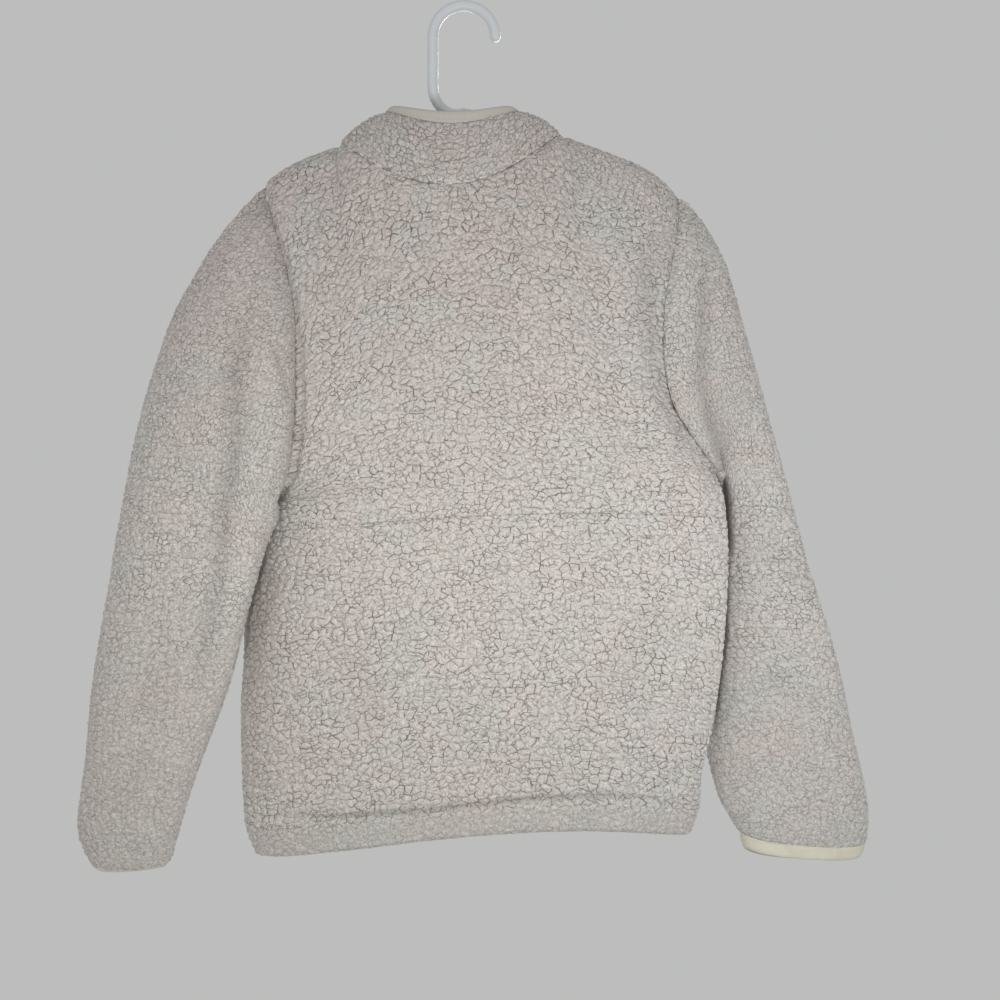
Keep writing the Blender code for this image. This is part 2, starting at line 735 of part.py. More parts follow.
def cut_below_top(opening, distance):
    """The opening's rows without the last stretch below the collar's edge."""
    points, normals, walls = opening
    along = lengths_along(points[:, 2])
    end = along[-1] - distance
    last = int(np.searchsorted(along, end)) - 1
    share = (end - along[last]) / (along[last + 1] - along[last])

    def ended(values):
        final = values[last] + (values[last + 1] - values[last]) * share
        return np.concatenate([values[: last + 1], final[None]])

    return ended(points), ended(normals), ended(walls)


def add_zip(panels, sums):
    opening = zip_rows(panels, sums)
    walls = opening[2]
    half_opening = ZIP_OPENING / 2
    tape_cloth = material("zip_tape", (0.62, 0.58, 0.50), 0.8)
    metal = material("zip_metal", (0.55, 0.53, 0.50), 0.35)
    metal.node_tree.nodes["Principled BSDF"].inputs["Metallic"].default_value = 0.9
    for name, side in (("left_zip_tape", -1), ("right_zip_tape", 1)):
        distances = sorted(
            side * distance for distance in (TAPE_FROM_CENTRE, half_opening, TAPE_TO_CENTRE)
        )
        tape, normals = strip(name, opening, distances, walls + SEAM_GAP, TAPE_WALL)
        wall_object(tape, normals, tape_cloth)
    toothed = cut_below_top(opening, CHAIN_BELOW_TOP)
    middle_of_tape = toothed[2] + SEAM_GAP + TAPE_WALL / 2
    chain, normals = strip(
        "zip_chain",
        toothed,
        (-CHAIN_WIDTH / 2, CHAIN_WIDTH / 2),
        middle_of_tape - CHAIN_THICKNESS / 2,
        CHAIN_THICKNESS,
    )
    teeth = material("zip_teeth", (0.66, 0.62, 0.54), 0.5)
    wall_object(chain, normals, teeth)
    end, out = toothed[0][-1, 2], toothed[1][-1, 2]
    across = unit(toothed[0][-1, 1] - toothed[0][-1, 3])
    up = unit(np.cross(out, across))
    frame = Matrix.Identity(4)
    origin = end - out * middle_of_tape[-1]
    for column, axis in enumerate((across, up, out)):
        for row in range(3):
            frame[row][column] = axis[row]
    frame.translation = Vector(origin * MM)
    add_slider(frame, metal)
    add_pull(frame, metal)


def box_mesh(low, high):
    """A box between two corners, in millimetres, as a bmesh in metres."""
    low, high = Vector(low) * MM, Vector(high) * MM
    mesh = bmesh.new()
    bmesh.ops.create_cube(mesh, size=1)
    for vert in mesh.verts:
        for axis in range(3):
            vert.co[axis] = high[axis] if vert.co[axis] > 0 else low[axis]
    return mesh


def extruded(profile, low, high, axis):
    """A closed profile of two coordinates extruded along an axis, as a bmesh in metres."""
    mesh = bmesh.new()
    corners = []
    for first, second in profile:
        place = [first, second]
        place.insert(axis, low)
        corners.append(mesh.verts.new(Vector(place) * MM))
    face = mesh.faces.new(corners)
    step = [0, 0, 0]
    step[axis] = (high - low) * MM
    moved = bmesh.ops.extrude_face_region(mesh, geom=[face])["geom"]
    verts = [item for item in moved if isinstance(item, bmesh.types.BMVert)]
    bmesh.ops.translate(mesh, verts=verts, vec=step)
    bmesh.ops.recalc_face_normals(mesh, faces=mesh.faces)
    return mesh


def united(name, meshes, finish):
    """One object from overlapping closed shapes."""
    body = mesh_object(name, meshes[0], finish)
    for index, mesh in enumerate(meshes[1:]):
        piece = mesh_object(f"{name}_shape_{index}", mesh, finish)
        piece.hide_render = True
        piece.display_type = "WIRE"
        union = body.modifiers.new("union", "BOOLEAN")
        union.operation = "UNION"
        union.object = piece
        piece.parent = body
    return body


def add_slider(frame, metal):
    """The slider: two plates joined by a post above the closed teeth, and a bridge in front."""
    half_gap = CHAIN_THICKNESS / 2 + SEAM_GAP
    half_width = SLIDER_WIDTH / 2
    low, high = SLIDER_POST_TOP - SLIDER_LENGTH, SLIDER_POST_TOP
    top = half_gap + SLIDER_PLATE
    front_plate = box_mesh((-half_width, low, half_gap), (half_width, high, top))
    back_plate = box_mesh((-half_width, low, -top), (half_width, high, -half_gap))
    for plate in (front_plate, back_plate):
        upright = [
            edge
            for edge in plate.edges
            if abs(edge.verts[0].co.z - edge.verts[1].co.z) > SLIDER_PLATE * MM / 2
        ]
        bmesh.ops.bevel(
            plate, geom=upright, offset=SLIDER_CORNER * MM, segments=3, profile=0.5, affect="EDGES"
        )
    sink = SLIDER_PLATE / 2
    post = box_mesh(
        (-SLIDER_POST_WIDTH / 2, SEAM_GAP, -half_gap - sink),
        (SLIDER_POST_WIDTH / 2, SLIDER_POST_TOP - 0.2, half_gap + sink),
    )
    middle = (low + high) / 2
    reach, inside = BRIDGE_LENGTH / 2, BRIDGE_LENGTH / 2 - BRIDGE_BAR
    rise, corner = BRIDGE_SPACE, BRIDGE_BAR
    arch = (
        (middle - reach, top - sink),
        (middle - reach, top + rise),
        (middle - reach + corner, top + rise + corner),
        (middle + reach - corner, top + rise + corner),
        (middle + reach, top + rise),
        (middle + reach, top - sink),
        (middle + inside, top - sink),
        (middle + inside, top + rise),
        (middle - inside, top + rise),
        (middle - inside, top - sink),
    )
    bridge = extruded(arch, -BRIDGE_WIDTH / 2, BRIDGE_WIDTH / 2, 0)
    slider = united("zip_slider", [front_plate, back_plate, post, bridge], metal)
    slider.matrix_world = frame


def add_pull(frame, metal):
    """The pull tab, its eye round the slider's bridge; its origin is on its hinge line."""
    half = PULL_THICKNESS / 2
    bar = PULL_BAR / 2
    half_width = PULL_WIDTH / 2
    tip = 1.2
    outline = (
        (-half_width, bar),
        (-half_width, -PULL_LENGTH + tip),
        (-half_width + tip, -PULL_LENGTH),
        (half_width - tip, -PULL_LENGTH),
        (half_width, -PULL_LENGTH + tip),
        (half_width, bar),
    )
    tab = extruded(outline, -half, half, 2)
    eye_half = PULL_WIDTH / 2 - PULL_BAR
    eye = box_mesh((-eye_half, -bar - PULL_EYE_LENGTH, -2), (eye_half, -bar, 2))
    pull = mesh_object("zip_pull", tab, metal)
    cutter = mesh_object("zip_pull_eye", eye, metal)
    cutter.hide_render = True
    cutter.display_type = "WIRE"
    cutter.parent = pull
    cut = pull.modifiers.new("eye", "BOOLEAN")
    cut.operation = "DIFFERENCE"
    cut.object = cutter
    height = CHAIN_THICKNESS / 2 + SEAM_GAP + SLIDER_PLATE + BRIDGE_SPACE / 2
    middle = SLIDER_POST_TOP - SLIDER_LENGTH / 2
    pull.matrix_world = frame @ Matrix.Translation(Vector((0, middle, height)) * MM)


def arc(centre, radius, start, end, steps):
    """Points of a circle's arc in the hanger's plane, angles from +X towards +Z."""
    angles = np.linspace(start, end, steps + 1)
    return [
        (centre[0] + radius * math.cos(angle), centre[1] + radius * math.sin(angle))
        for angle in angles
    ]


def hanger_half():
    """The right arm from its apex, down round its end and back along the bar."""
    points = [(0, ARM_APEX_Z - 1.2), (12, ARM_APEX_Z - 12 * math.tan(ARM_SLOPE))]
    arm_end = (ARM_STRAIGHT_X, ARM_APEX_Z - ARM_STRAIGHT_X * math.tan(ARM_SLOPE))
    for step in range(1, 5):
        share = step / 5
        points.append(
            (12 + (arm_end[0] - 12) * share, points[1][1] + (arm_end[1] - points[1][1]) * share)
        )
    bend = SHOULDER_BEND_RADIUS
    centre = (arm_end[0] - bend * math.sin(ARM_SLOPE), arm_end[1] - bend * math.cos(ARM_SLOPE))
    start, turn = math.pi / 2 - ARM_SLOPE, math.pi / 2 - SHOULDER_BEND_TO
    points += arc(centre, bend, start, turn, 4)
    last = points[-1]
    centre = (last[0] - END_RADIUS * math.cos(turn), last[1] - END_RADIUS * math.sin(turn))
    points += arc(centre, END_RADIUS, turn, -math.pi / 2, 8)[1:]
    last = points[-1]
    points += [(last[0] * (1 - step / 5), last[1]) for step in range(1, 5)]
    return points + [(0, last[1])]


def tube(path, closed):
    """A round tube along a path in the plane y = 0, as a bmesh in metres."""
    path = np.array(path, float)
    ahead = np.roll(path, -1, axis=0)
    behind = np.roll(path, 1, axis=0)
    if not closed:
        ahead[-1], behind[0] = path[-1], path[0]
    along = unit(ahead - behind)
    mesh = bmesh.new()
    rings = []
    radii = np.full(len(path), TUBE_RADIUS)
    if not closed:
        tip = [(math.sin(a), math.cos(a)) for a in np.radians((70, 40))]
        start = [path[0] - along[0] * TUBE_RADIUS * reach for reach, _ in tip]
        path = np.concatenate([start, path])
        along = np.concatenate([[along[0]] * 2, along])
        radii = np.concatenate([[TUBE_RADIUS * size for _, size in tip], radii])
    for (x, z), (dx, dz), radius in zip(path, along, radii):
        ring = []
        for side in range(TUBE_SIDES):
            angle = 2 * math.pi * side / TUBE_SIDES
            out, depth = radius * math.cos(angle), radius * math.sin(angle)
            ring.append(mesh.verts.new(Vector((x - dz * out, depth, z + dx * out)) * MM))
        rings.append(ring)
    pairs = list(zip(rings, rings[1:]))
    if closed:
        pairs.append((rings[-1], rings[0]))
    for first, second in pairs:
        for side in range(TUBE_SIDES):
            after = (side + 1) % TUBE_SIDES
            mesh.faces.new([first[side], first[after], second[after], second[side]])
    if not closed:
        mesh.faces.new(rings[0])
        mesh.faces.new(rings[-1])
    bmesh.ops.recalc_face_normals(mesh, faces=mesh.faces)
    return mesh


def add_hanger():
    half = hanger_half()
    loop = half + [(-x, z) for x, z in reversed(half[1:-1])]
    hook_centre = (0, TUBE_RADIUS - HOOK_RADIUS)
    hook = arc(hook_centre, HOOK_RADIUS, 0, math.pi, 18)
    stem = [(-HOOK_RADIUS, z) for z in (-36, -48, -60, -68)]
    foot = [(-27.3, -75), (-24.5, -82), (-19.5, -88), (-12.0, -92.5), (-4.0, -93.5)]
    white = material("hanger", (0.86, 0.87, 0.88), 0.3)
    united("hanger", [tube(loop, True), tube(hook + stem + foot, False)], white)


def main():
    clear_scene()
    panels = jacket_panels()
    sums = surface_normals(panels)
    for panel in panels:
        cloth = binding_cloth if "binding" in panel.name else fleece
        wall_object(panel, wall_normals(panel, sums), cloth(panel.name))
    add_zip(panels, sums)
    add_hanger()


main()
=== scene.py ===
"""The looks of a fleece jacket hung on a tube clothes hanger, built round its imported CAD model.

Tables and functions work in millimetres, as the model's own do; MM turns them into metres.
The back faces -Y, +X is the wearer's right, +Z is up, and the origin is under the hook's top.
"""

import math
from collections import namedtuple

import bmesh
import bpy
import numpy as np
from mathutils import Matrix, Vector


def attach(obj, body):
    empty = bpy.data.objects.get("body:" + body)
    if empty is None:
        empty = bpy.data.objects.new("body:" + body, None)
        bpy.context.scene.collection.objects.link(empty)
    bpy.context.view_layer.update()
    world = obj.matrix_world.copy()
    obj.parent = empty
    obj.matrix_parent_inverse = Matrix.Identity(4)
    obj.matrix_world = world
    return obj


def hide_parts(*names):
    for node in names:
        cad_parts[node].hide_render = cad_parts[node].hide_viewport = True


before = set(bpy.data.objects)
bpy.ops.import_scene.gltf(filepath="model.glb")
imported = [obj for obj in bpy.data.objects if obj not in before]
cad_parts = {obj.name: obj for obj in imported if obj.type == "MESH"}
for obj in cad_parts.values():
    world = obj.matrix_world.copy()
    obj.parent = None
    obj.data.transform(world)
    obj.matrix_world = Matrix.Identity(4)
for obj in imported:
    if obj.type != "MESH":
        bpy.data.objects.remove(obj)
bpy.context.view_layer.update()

MM = 0.001

# Cloth
FLEECE_WALL = 4.0
HEM_WALL = 5.5
SHELL_WALL = 3.2
SHELL_HEM_WALL = 5.0
BINDING_WALL = 3.0
BINDING_INSET = 0.7
SEAM_GAP = 0.3
TAPE_WALL = 0.9

# Counts of faces
SHOULDER_FACES = 5
NECK_FACES = 16
ARMHOLE_FACES = 13
SLEEVE_ROWS = 20
SLEEVE_ROW_SPREAD = 1.15
COLLAR_ROWS = 5

# Zip
ZIP_OPENING = 14.0
TAPE_FROM_CENTRE = 3.1
TAPE_TO_CENTRE = 14.0
CHAIN_BELOW_TOP = 12.0

# Hanger
HOOK_RADIUS = 28.1
TUBE_RADIUS = 4.75
ARM_APEX_Z = -91.0
ARM_SLOPE = math.radians(20.3)
ARM_STRAIGHT_X = 142.0
ARM_START_X = 12
APEX_DROP = 1.2
ARM_STEPS = 5
SHOULDER_BEND_RADIUS = 70.0
SHOULDER_BEND_TO = math.radians(50)
END_RADIUS = 12.0
# Down the hook's straight stem, along its foot to the arms, and round its tip
STEM_Z = (-36, -48, -60, -68)
HOOK_FOOT = ((-27.3, -75), (-24.5, -82), (-19.5, -88), (-12.0, -92.5), (-4.0, -93.5))
TIP_ANGLES = np.radians((88, 70, 50, 30, 14))
HANGER_SIDES = 28
HANGER_STEP = 3.0


def table(kind, *rows):
    """Rows of numbers under the names of their columns."""
    return tuple(kind(*row) for row in rows)


TrunkRow = namedtuple(
    "TrunkRow", "left_x left_y left_z right_x right_y right_z centre_x back_y front_y lift"
)
TRUNK_ROWS = table(
    TrunkRow,
    (-187, 4, -761, 203, -3, -741, 7, -31, 34, 15),
    (-198, 7, -734, 212, -6, -714, 6, -35, 38, 15),
    (-202, 12, -690, 213, -11, -683, 5, -38, 39, 13),
    (-204, 18, -635, 224, -17, -630, 3, -41, 38, 11),
    (-203, 20, -565, 232, -20, -560, 0, -44, 40, 9),
    (-200, 18, -508, 235, -21, -500, -3, -46, 41, 7),
    (-193, 8, -470, 234, -20, -456, -5, -47, 42, 8),
    (-182, -2, -444, 229, -8, -418, -6, -47, 42, 6),
)
TRUNK_STEPS = (2, 2, 2, 2, 2, 1, 1)
HALF_TRUNK = 200
# How square a level section of the trunk is: near its middle, and near its side edges.
SECTION_POWERS = (2.8, 0.48)
BACK_SEAM_ROW = 11
HEM_STITCH_ROW = 2

# An armhole seam runs from the shoulder over the back, and over the front, to the underarm.
ArmholeRow = namedtuple("ArmholeRow", "x y z")
LEFT_ARMHOLE_BACK = table(
    ArmholeRow,
    (-182.5, 0, -156.5), (-174, -17, -182), (-158, -29, -228), (-148, -35, -264), (-142, -39, -319),
    (-143, -39, -386), (-149, -36, -419), (-157, -30, -434), (-169, -22, -441), (-177, -13, -443.5),
    (-182, -2, -444),
)
LEFT_ARMHOLE_FRONT = table(
    ArmholeRow,
    (-182.5, 0, -156.5), (-179, 17, -184), (-171, 28, -225), (-164, 34, -270), (-162, 37, -325),
    (-168, 34, -385), (-174, 28, -412), (-179, 20, -429), (-182, 9, -440), (-182, -2, -444),
)
RIGHT_ARMHOLE_BACK = table(
    ArmholeRow,
    (195, 0, -166), (194, -15, -187), (186, -29, -227), (178, -36, -268), (177, -39, -313),
    (183, -37, -353), (205, -29, -390), (218, -23, -407), (226, -15, -415.5), (229, -8, -418),
)
RIGHT_ARMHOLE_FRONT = table(
    ArmholeRow,
    (195, 0, -166), (192, 16, -188), (184, 27, -228), (176, 33, -270), (174, 35, -318),
    (182, 31, -362), (202, 20, -396), (217, 12, -411), (226, 2, -417), (229, -8, -418),
)

# The shoulder ridge, from the armhole to the neck.
RidgeRow = namedtuple("RidgeRow", "x z")
LEFT_RIDGE = table(
    RidgeRow,
    (-182.5, -156.5), (-171.5, -148.0), (-154.5, -137.0), (-134.5, -128.5), (-112.5, -120.5),
)
RIGHT_RIDGE = table(
    RidgeRow,
    (195.0, -166.0), (181.5, -154.0), (164.5, -141.5), (142.5, -131.5), (116.5, -121.8),
    (88.5, -112.0),
)

# The neck seam and the collar's edge are rings; sag is how far the middle lies below the sides.
NeckRing = namedtuple("NeckRing", "left_x left_z right_x right_z back_y back_sag front_y front_sag")
NECK_SEAM = NeckRing(-112.5, -120.5, 88.5, -112.0, -48, 52, 50, 76)
COLLAR_EDGE = NeckRing(-71, -92.5, 51, -92.5, -40, 20, 40, 36)
BINDING_EDGE = NeckRing(-68, -87.5, 47, -87.5, -38, 14, 38, 29)
NECK_CENTRE_X = -9.5
COLLAR_BULGE = 4.0
SAG_POWER = 2.2

SleeveRow = namedtuple(
    "SleeveRow", "outer_x outer_y outer_z inner_x inner_y inner_z half_depth front_drop"
)
LEFT_SLEEVE_ROWS = table(
    SleeveRow,
    (-182.5, 0, -156.5, -161.5, -27, -437.5, 38, 0),
    (-210, -3, -191, -157, -37, -444, 37, 0),
    (-235, -7, -229, -156, -46, -452, 36, 0),
    (-259, -12, -277, -160, -52, -462, 35, 0),
    (-278, -17, -337, -165, -54, -472, 34, 0),
    (-289, -21, -391, -169, -54, -483, 33, 0),
    (-299, -24, -440, -173, -52, -496, 32, 0),
    (-306, -26, -489, -180, -50, -521, 31, 0),
    (-315, -27, -538, -189, -45, -551, 30, 0),
    (-323, -27, -588, -200, -38, -591, 29, 0),
    (-329, -26, -643, -220, -32, -646, 28, 0),
    (-334, -25, -694, -238, -28, -693, 27, 2),
    (-338, -24, -731, -249, -26, -726, 26, 4),
    (-328, -23, -757, -256, -25, -753, 21, 6),
)
LEFT_CUFF_ROW = SleeveRow(-322, -23, -766, -261, -25, -762, 16, 7)
RIGHT_SLEEVE_ROWS = table(
    SleeveRow,
    (195, 0, -166, 214, 14, -408, 38, 0),
    (218, 2, -192, 222, 20, -420, 37, 0),
    (238, 5, -232, 227, 28, -433, 36, 0),
    (253, 9, -283, 226, 36, -447, 34, 0),
    (268, 14, -329, 220, 43, -462, 32, 0),
    (281, 19, -379, 213, 48, -478, 31, 0),
    (297, 24, -427, 206, 52, -494, 30, 0),
    (310, 28, -479, 195, 54, -519, 30, 0),
    (325, 31, -527, 195, 52, -557, 30, 0),
    (345, 32, -589, 207, 47, -607, 29, 0),
    (357, 32, -651, 221, 41, -660, 28, 2),
    (370, 31, -709, 233, 36, -708, 27, 8),
    (373, 30, -741, 244, 33, -736, 26, 14),
    (370, 29, -753, 254, 31, -749, 24, 18),
)
RIGHT_CUFF_ROW = SleeveRow(366, 28, -765, 256, 30, -761, 23, 19)
# The point of each armhole where its sleeve's inner fold begins.
LEFT_FOLD_POINT = 11
RIGHT_FOLD_POINT = 15
SLEEVE_FLATNESS = 0.82
# Shares of the sleeve's length over which the armhole's shape fades into the sleeve's.
CAP_LENGTH = 0.36
CAP_AT_UNDERARM = 0.15
LEFT_PINCH = -0.5
RIGHT_PINCH = 0.5
PINCH_LENGTH = 0.25
# Below the armhole a sleeve stands off the trunk, over these shares of its length.
STAND_OFF = 10.0
STAND_OFF_FROM = 0.03
STAND_OFF_TO = 0.2
# How far below the shoulders the trunk still takes their shape.
SHOULDER_DROP = 140.0

# How finely the scene's shells follow the coarse panels.
INNER_STEP = 4
INNER_POINTS = np.s_[::INNER_STEP, ::INNER_STEP]
# How far the rows of a fine grid are blended with their neighbours.
BLEND_LENGTH = 8.0
SPACINGS = {
    "back_lower": 1.5,
    "back_upper": 1.5,
    "left_front": 2.1,
    "right_front": 2.1,
    "left_sleeve": 1.9,
    "right_sleeve": 1.9,
    "collar": 1.5,
    "collar_binding": 1.0,
    "left_cuff_binding": 1.0,
    "right_cuff_binding": 1.0,
}

# The size each piece was cut to, in metres and square metres.
Cut = namedtuple("Cut", "width length area held")

# Free edges: how far the cloth rolls in there, and over what width.
Edge = namedtuple("Edge", "side depth width")
HEM_ROLL = Edge("low", 2.6, 2.4)
CUFF_ROLL = Edge("high", 1.8, 3.0)
BINDING_FOLD = (Edge("low", 0.3, 1.2), Edge("high", 1.1, 1.6))
EDGES = {
    "back_lower": (HEM_ROLL,),
    "back_upper": (),
    "left_front": (HEM_ROLL, Edge("right", 2.2, 2.4)),
    "right_front": (HEM_ROLL, Edge("left", 2.2, 2.4)),
    "left_sleeve": (CUFF_ROLL,),
    "right_sleeve": (CUFF_ROLL,),
    "collar": (Edge("high", 1.0, 2.4), Edge("left", 2.2, 2.4), Edge("right", 2.2, 2.4)),
    "collar_binding": BINDING_FOLD,
    "left_cuff_binding": BINDING_FOLD,
    "right_cuff_binding": BINDING_FOLD,
}

# Seams: how far the cloth dips to a seam, over what width, and how dark the painted shade of its line
# shows.
Dip = namedtuple("Dip", "depth width dark")
SIDE_DIP = Dip(1.4, 2.6, 0.6)
MIDDLE_DIP = Dip(1.2, 2.6, 0.25)
SHOULDER_DIP = Dip(1.2, 2.6, 0.4)
NECK_DIP = Dip(1.9, 2.6, 0.75)
ARMHOLE_DIP = Dip(1.4, 3.0, 0.85)
Seam = namedtuple("Seam", "line dip armhole")
# Width of the painted shade line along a seam, and how far its width wanders.
SEAM_LINE = 1.5
SEAM_LINE_WANDER = 4.0
# An armhole's painted shade line shows less high up, at this share, and fades in over a stretch below
# there.
ARMHOLE_LINE_HIGH_UP = 0.4
ARMHOLE_LINE_Z = -250
ARMHOLE_LINE_FADE = 70

# The broad valley along each armhole: its depth, its width and its painted shade on the sleeve and on
# the trunk.
Valley = namedtuple("Valley", "depth sleeve_width trunk_width sleeve_dark trunk_dark")
VALLEYS = (Valley(4.5, 16.0, 3.5, 0.17, 0.0), Valley(3.4, 4.5, 12.0, 0.0, 0.10))

# Creases and rolls on one side of a piece: a positive depth stands out, dark is how much shade
# is painted on the pile in its bottom, and the line runs through points (x, z) in millimetres.
Crease = namedtuple("Crease", "panel side depth width dark line")
BACK, FRONT = -1, 1
CREASES = table(
    Crease,
    ("left_sleeve", BACK, -5.0, 11, 0.17,
     ((-181, -249), (-198, -329), (-193, -390), (-202, -440), (-207, -499), (-221, -576), (-228, -629))),
    ("left_sleeve", BACK, 2.2, 12, 0, ((-182, -390), (-184, -440), (-189, -491))),
    ("left_sleeve", BACK, -2.2, 3.5, 0.2,
     ((-168, -298), (-157, -320), (-149, -344), (-147, -362))),
    ("left_sleeve", BACK, -2.2, 16, 0.05, ((-240, -560), (-262, -600), (-290, -630))),
    ("left_sleeve", BACK, -1.6, 13, 0.05, ((-262, -650), (-285, -690), (-310, -712))),
    ("left_sleeve", FRONT, -3.0, 12, 0.1, ((-200, -380), (-214, -440), (-222, -500))),
    ("left_sleeve", FRONT, -2.0, 15, 0.05, ((-232, -560), (-262, -590), (-296, -604))),
    ("right_sleeve", BACK, -4.5, 8, 0.20,
     ((217, -217), (214, -282), (212, -335), (221, -369), (227, -387), (232, -412))),
    ("right_sleeve", BACK, 1.5, 9, 0, ((191, -267), (188, -310), (194, -345), (208, -374))),
    ("right_sleeve", BACK, -4.5, 4.5, 0.95, ((231, -408), (237, -440), (239, -469), (239, -500))),
    ("right_sleeve", BACK, -2.6, 2.6, 0.85,
     ((239, -470), (239, -523), (238, -568), (231, -624), (228, -666))),
    ("right_sleeve", BACK, -2.0, 16, 0.05, ((262, -470), (290, -500), (320, -516))),
    ("right_sleeve", BACK, -1.8, 15, 0.05, ((262, -590), (300, -618), (338, -628))),
    ("right_sleeve", FRONT, -3.0, 12, 0.1, ((214, -360), (232, -420), (248, -480))),
    ("right_sleeve", FRONT, -2.2, 16, 0.05, ((246, -560), (284, -590), (326, -604))),
    ("back_upper", BACK, -4.0, 12, 0.17,
     ((163, -195), (163, -283), (172, -335), (187, -366), (200, -385), (208, -393), (219, -406))),
    ("back_lower", BACK, -3.0, 12, 0.04, ((-166, -480), (-173, -502), (-191, -567), (-197, -620))),
    ("back_lower", BACK, -2.0, 3, 0.6, ((-172, -466), (-180, -494), (-197, -549), (-201, -590))),
    ("back_lower", BACK, -1.6, 24, 0.05, ((-120, -560), (-90, -610), (-84, -660))),
    ("back_lower", BACK, -1.4, 22, 0.05, ((170, -520), (150, -580), (146, -640))),
    ("back_lower", BACK, -2.4, 3.0, 0.3,
     ((-186, -719), (-112, -718), (-29, -711), (69, -701), (122, -699), (197, -704))),
    ("left_front", FRONT, -2.2, 3.0, 0.3, ((-190, -722), (-112, -722), (-12, -716))),
    ("right_front", FRONT, -2.2, 3.0, 0.3, ((-4, -714), (69, -704), (200, -706))),
    ("left_front", FRONT, -2.8, 16, 0.1, ((-160, -440), (-140, -480), (-128, -530))),
    ("left_front", FRONT, -2.2, 20, 0.05, ((-60, -240), (-78, -300), (-84, -370))),
    ("right_front", FRONT, -2.8, 16, 0.1, ((206, -430), (186, -470), (170, -530))),
    ("right_front", FRONT, -2.2, 20, 0.05, ((54, -250), (80, -310), (90, -390))),
)

# Share of a crease's length over which each end fades.
CREASE_TAPER = 0.25

# How the right cuff hangs: the near side lower, the far side higher, one end lower.
CUFF_TIP = 3.8
CUFF_LIFT = 0.7
CUFF_SKEW = -1.4
CUFF_TIP_LENGTH = 80.0
# How far a sleeve's cloth hangs over its cuff's binding.
HUNG_OVER = {"left_sleeve": 6.5, "right_sleeve": 1.0}

# Combed pile: its share at the cuff and over what length, and its share on the forearm,
# below what height and fading in over what drop.
Combing = namedtuple("Combing", "at_cuff cuff_length on_arm arm_z arm_drop")
SLEEVE_COMBING = {
    "left_sleeve": Combing(1.0, 30, 0.65, -470, 200),
    "right_sleeve": Combing(0.8, 60, 0.45, -540, 120),
}
COLLAR_COMBING = 0.5
COMB_FADE = 12
HEM_BAND = 24.0

# The pieces lie apart in the flat cloth's coordinates, so that no two share a pattern.
PIECES = tuple(SPACINGS)
PIECE_STRIDE = 2000.0
# Distances to seams are kept up to here.
SEAM_REACH = 50.0
# Over this width beside a free side edge, rows are not blended with their neighbours.
SIDE_BLEND = 25
SHELL_HEM_REACH = 45

# Slow waves in the cloth, which fade out beside the seams
RUMPLE_WAVES = 14
RUMPLE_LENGTHS = (55, 150)
RUMPLE_HEIGHT = 0.55
RUMPLE_FADE = 25
RUMPLE_SEED = 11

# How far each piece keeps to the smaller curls, and the pile's clumps and curls in metres.
FINE_PILE = {"collar": 0.9, "left_sleeve": 0.4, "right_sleeve": 0.2}
CLUMP_SIZE = 0.0078
CURL_SIZE = 0.0054
PILE_DRIFT = 0.0050
PILE_DRIFT_SIZE = 0.013
CRACK_DRIFT = 0.0030
CRACK_DRIFT_SIZE = 0.0045
CLUMP_SQUASH = (0.90, 1.18, 1.0)
CLUMP_HEIGHT = 0.0013
CURL_HEIGHT = 0.0008
FUZZ_HEIGHT = 0.0006
FUZZ_SIZE = 0.0026
COMB_STRETCH = (0.45, 1.0, 1.0)
ROW_HEIGHT = 0.0094
ROW_WANDER = 0.0055
ROW_WANDER_SIZE = 0.008
ROW_STRETCH = (0.22, 1.0, 1.0)
# How much shade is painted into the level cracks.
ROW_DARK = 0.75
PATCH_SIZE = 0.030
SMALL_PATCH_SIZE = 0.012
CRACK_LENGTH = 0.0060
# Cracks reach this far into a cell, as a share of its size.
CLUMP_CRACK = 0.085
CURL_CRACK = 0.11
# How much shade is painted into the cracks.
CRACK_DARK = 0.86
DOME_POWER = 0.55
# The height of the domes that stays on the shell's surface.
PILE_LEVEL = 0.7
HUE_SIZE = 0.055
GRAIN_SIZE = 0.0018
LIE_SIZE = 0.0013
GLINT_SIZE = 0.0065

# Colours, in linear light
# The upper part's pink, painted a little darker as shade where the light falls off towards the shoulders
FLEECE_PINK_SHADED = (0.580, 0.517, 0.494, 1)
FLEECE_CREAM = (0.600, 0.553, 0.520, 1)
FLEECE_GREY = (0.580, 0.553, 0.532, 1)
FLEECE_COOL = (0.560, 0.556, 0.526, 1)
FLEECE_ROSE = (0.606, 0.534, 0.512, 1)
# Painted shade in the bottoms of folds, creases and armhole valleys
FOLD_SHADE_TINT = (0.030, 0.024, 0.024, 1)
THREAD_TINT = (0.80, 0.77, 0.71, 1)
# Painted shade in the cracks between the clumps and along the seams' lines
PAINTED_SHADE_TINT = (0.130, 0.105, 0.090, 1)
BINDING_TINTS = ((0.735, 0.705, 0.585, 1), (0.665, 0.63, 0.515, 1))
COLLAR_TINT = (0.60, 0.565, 0.51, 1)
TAPE_TINTS = ((0.66, 0.62, 0.54, 1), (0.58, 0.54, 0.47, 1))
METAL_TINTS = ((0.60, 0.58, 0.55, 1), (0.50, 0.48, 0.45, 1))
TEETH_TINTS = ((0.70, 0.66, 0.57, 1), (0.62, 0.58, 0.50, 1))
HANGER_TINTS = ((0.72, 0.74, 0.77, 1), (0.64, 0.66, 0.69, 1))
STITCH_TINTS = ((0.80, 0.78, 0.70, 1), (0.62, 0.60, 0.53, 1))
FLOOR_TINTS = ((0.78, 0.79, 0.78, 1), (0.74, 0.75, 0.74, 1))
SURROUND_TINT = (0.70, 0.71, 0.70, 1)

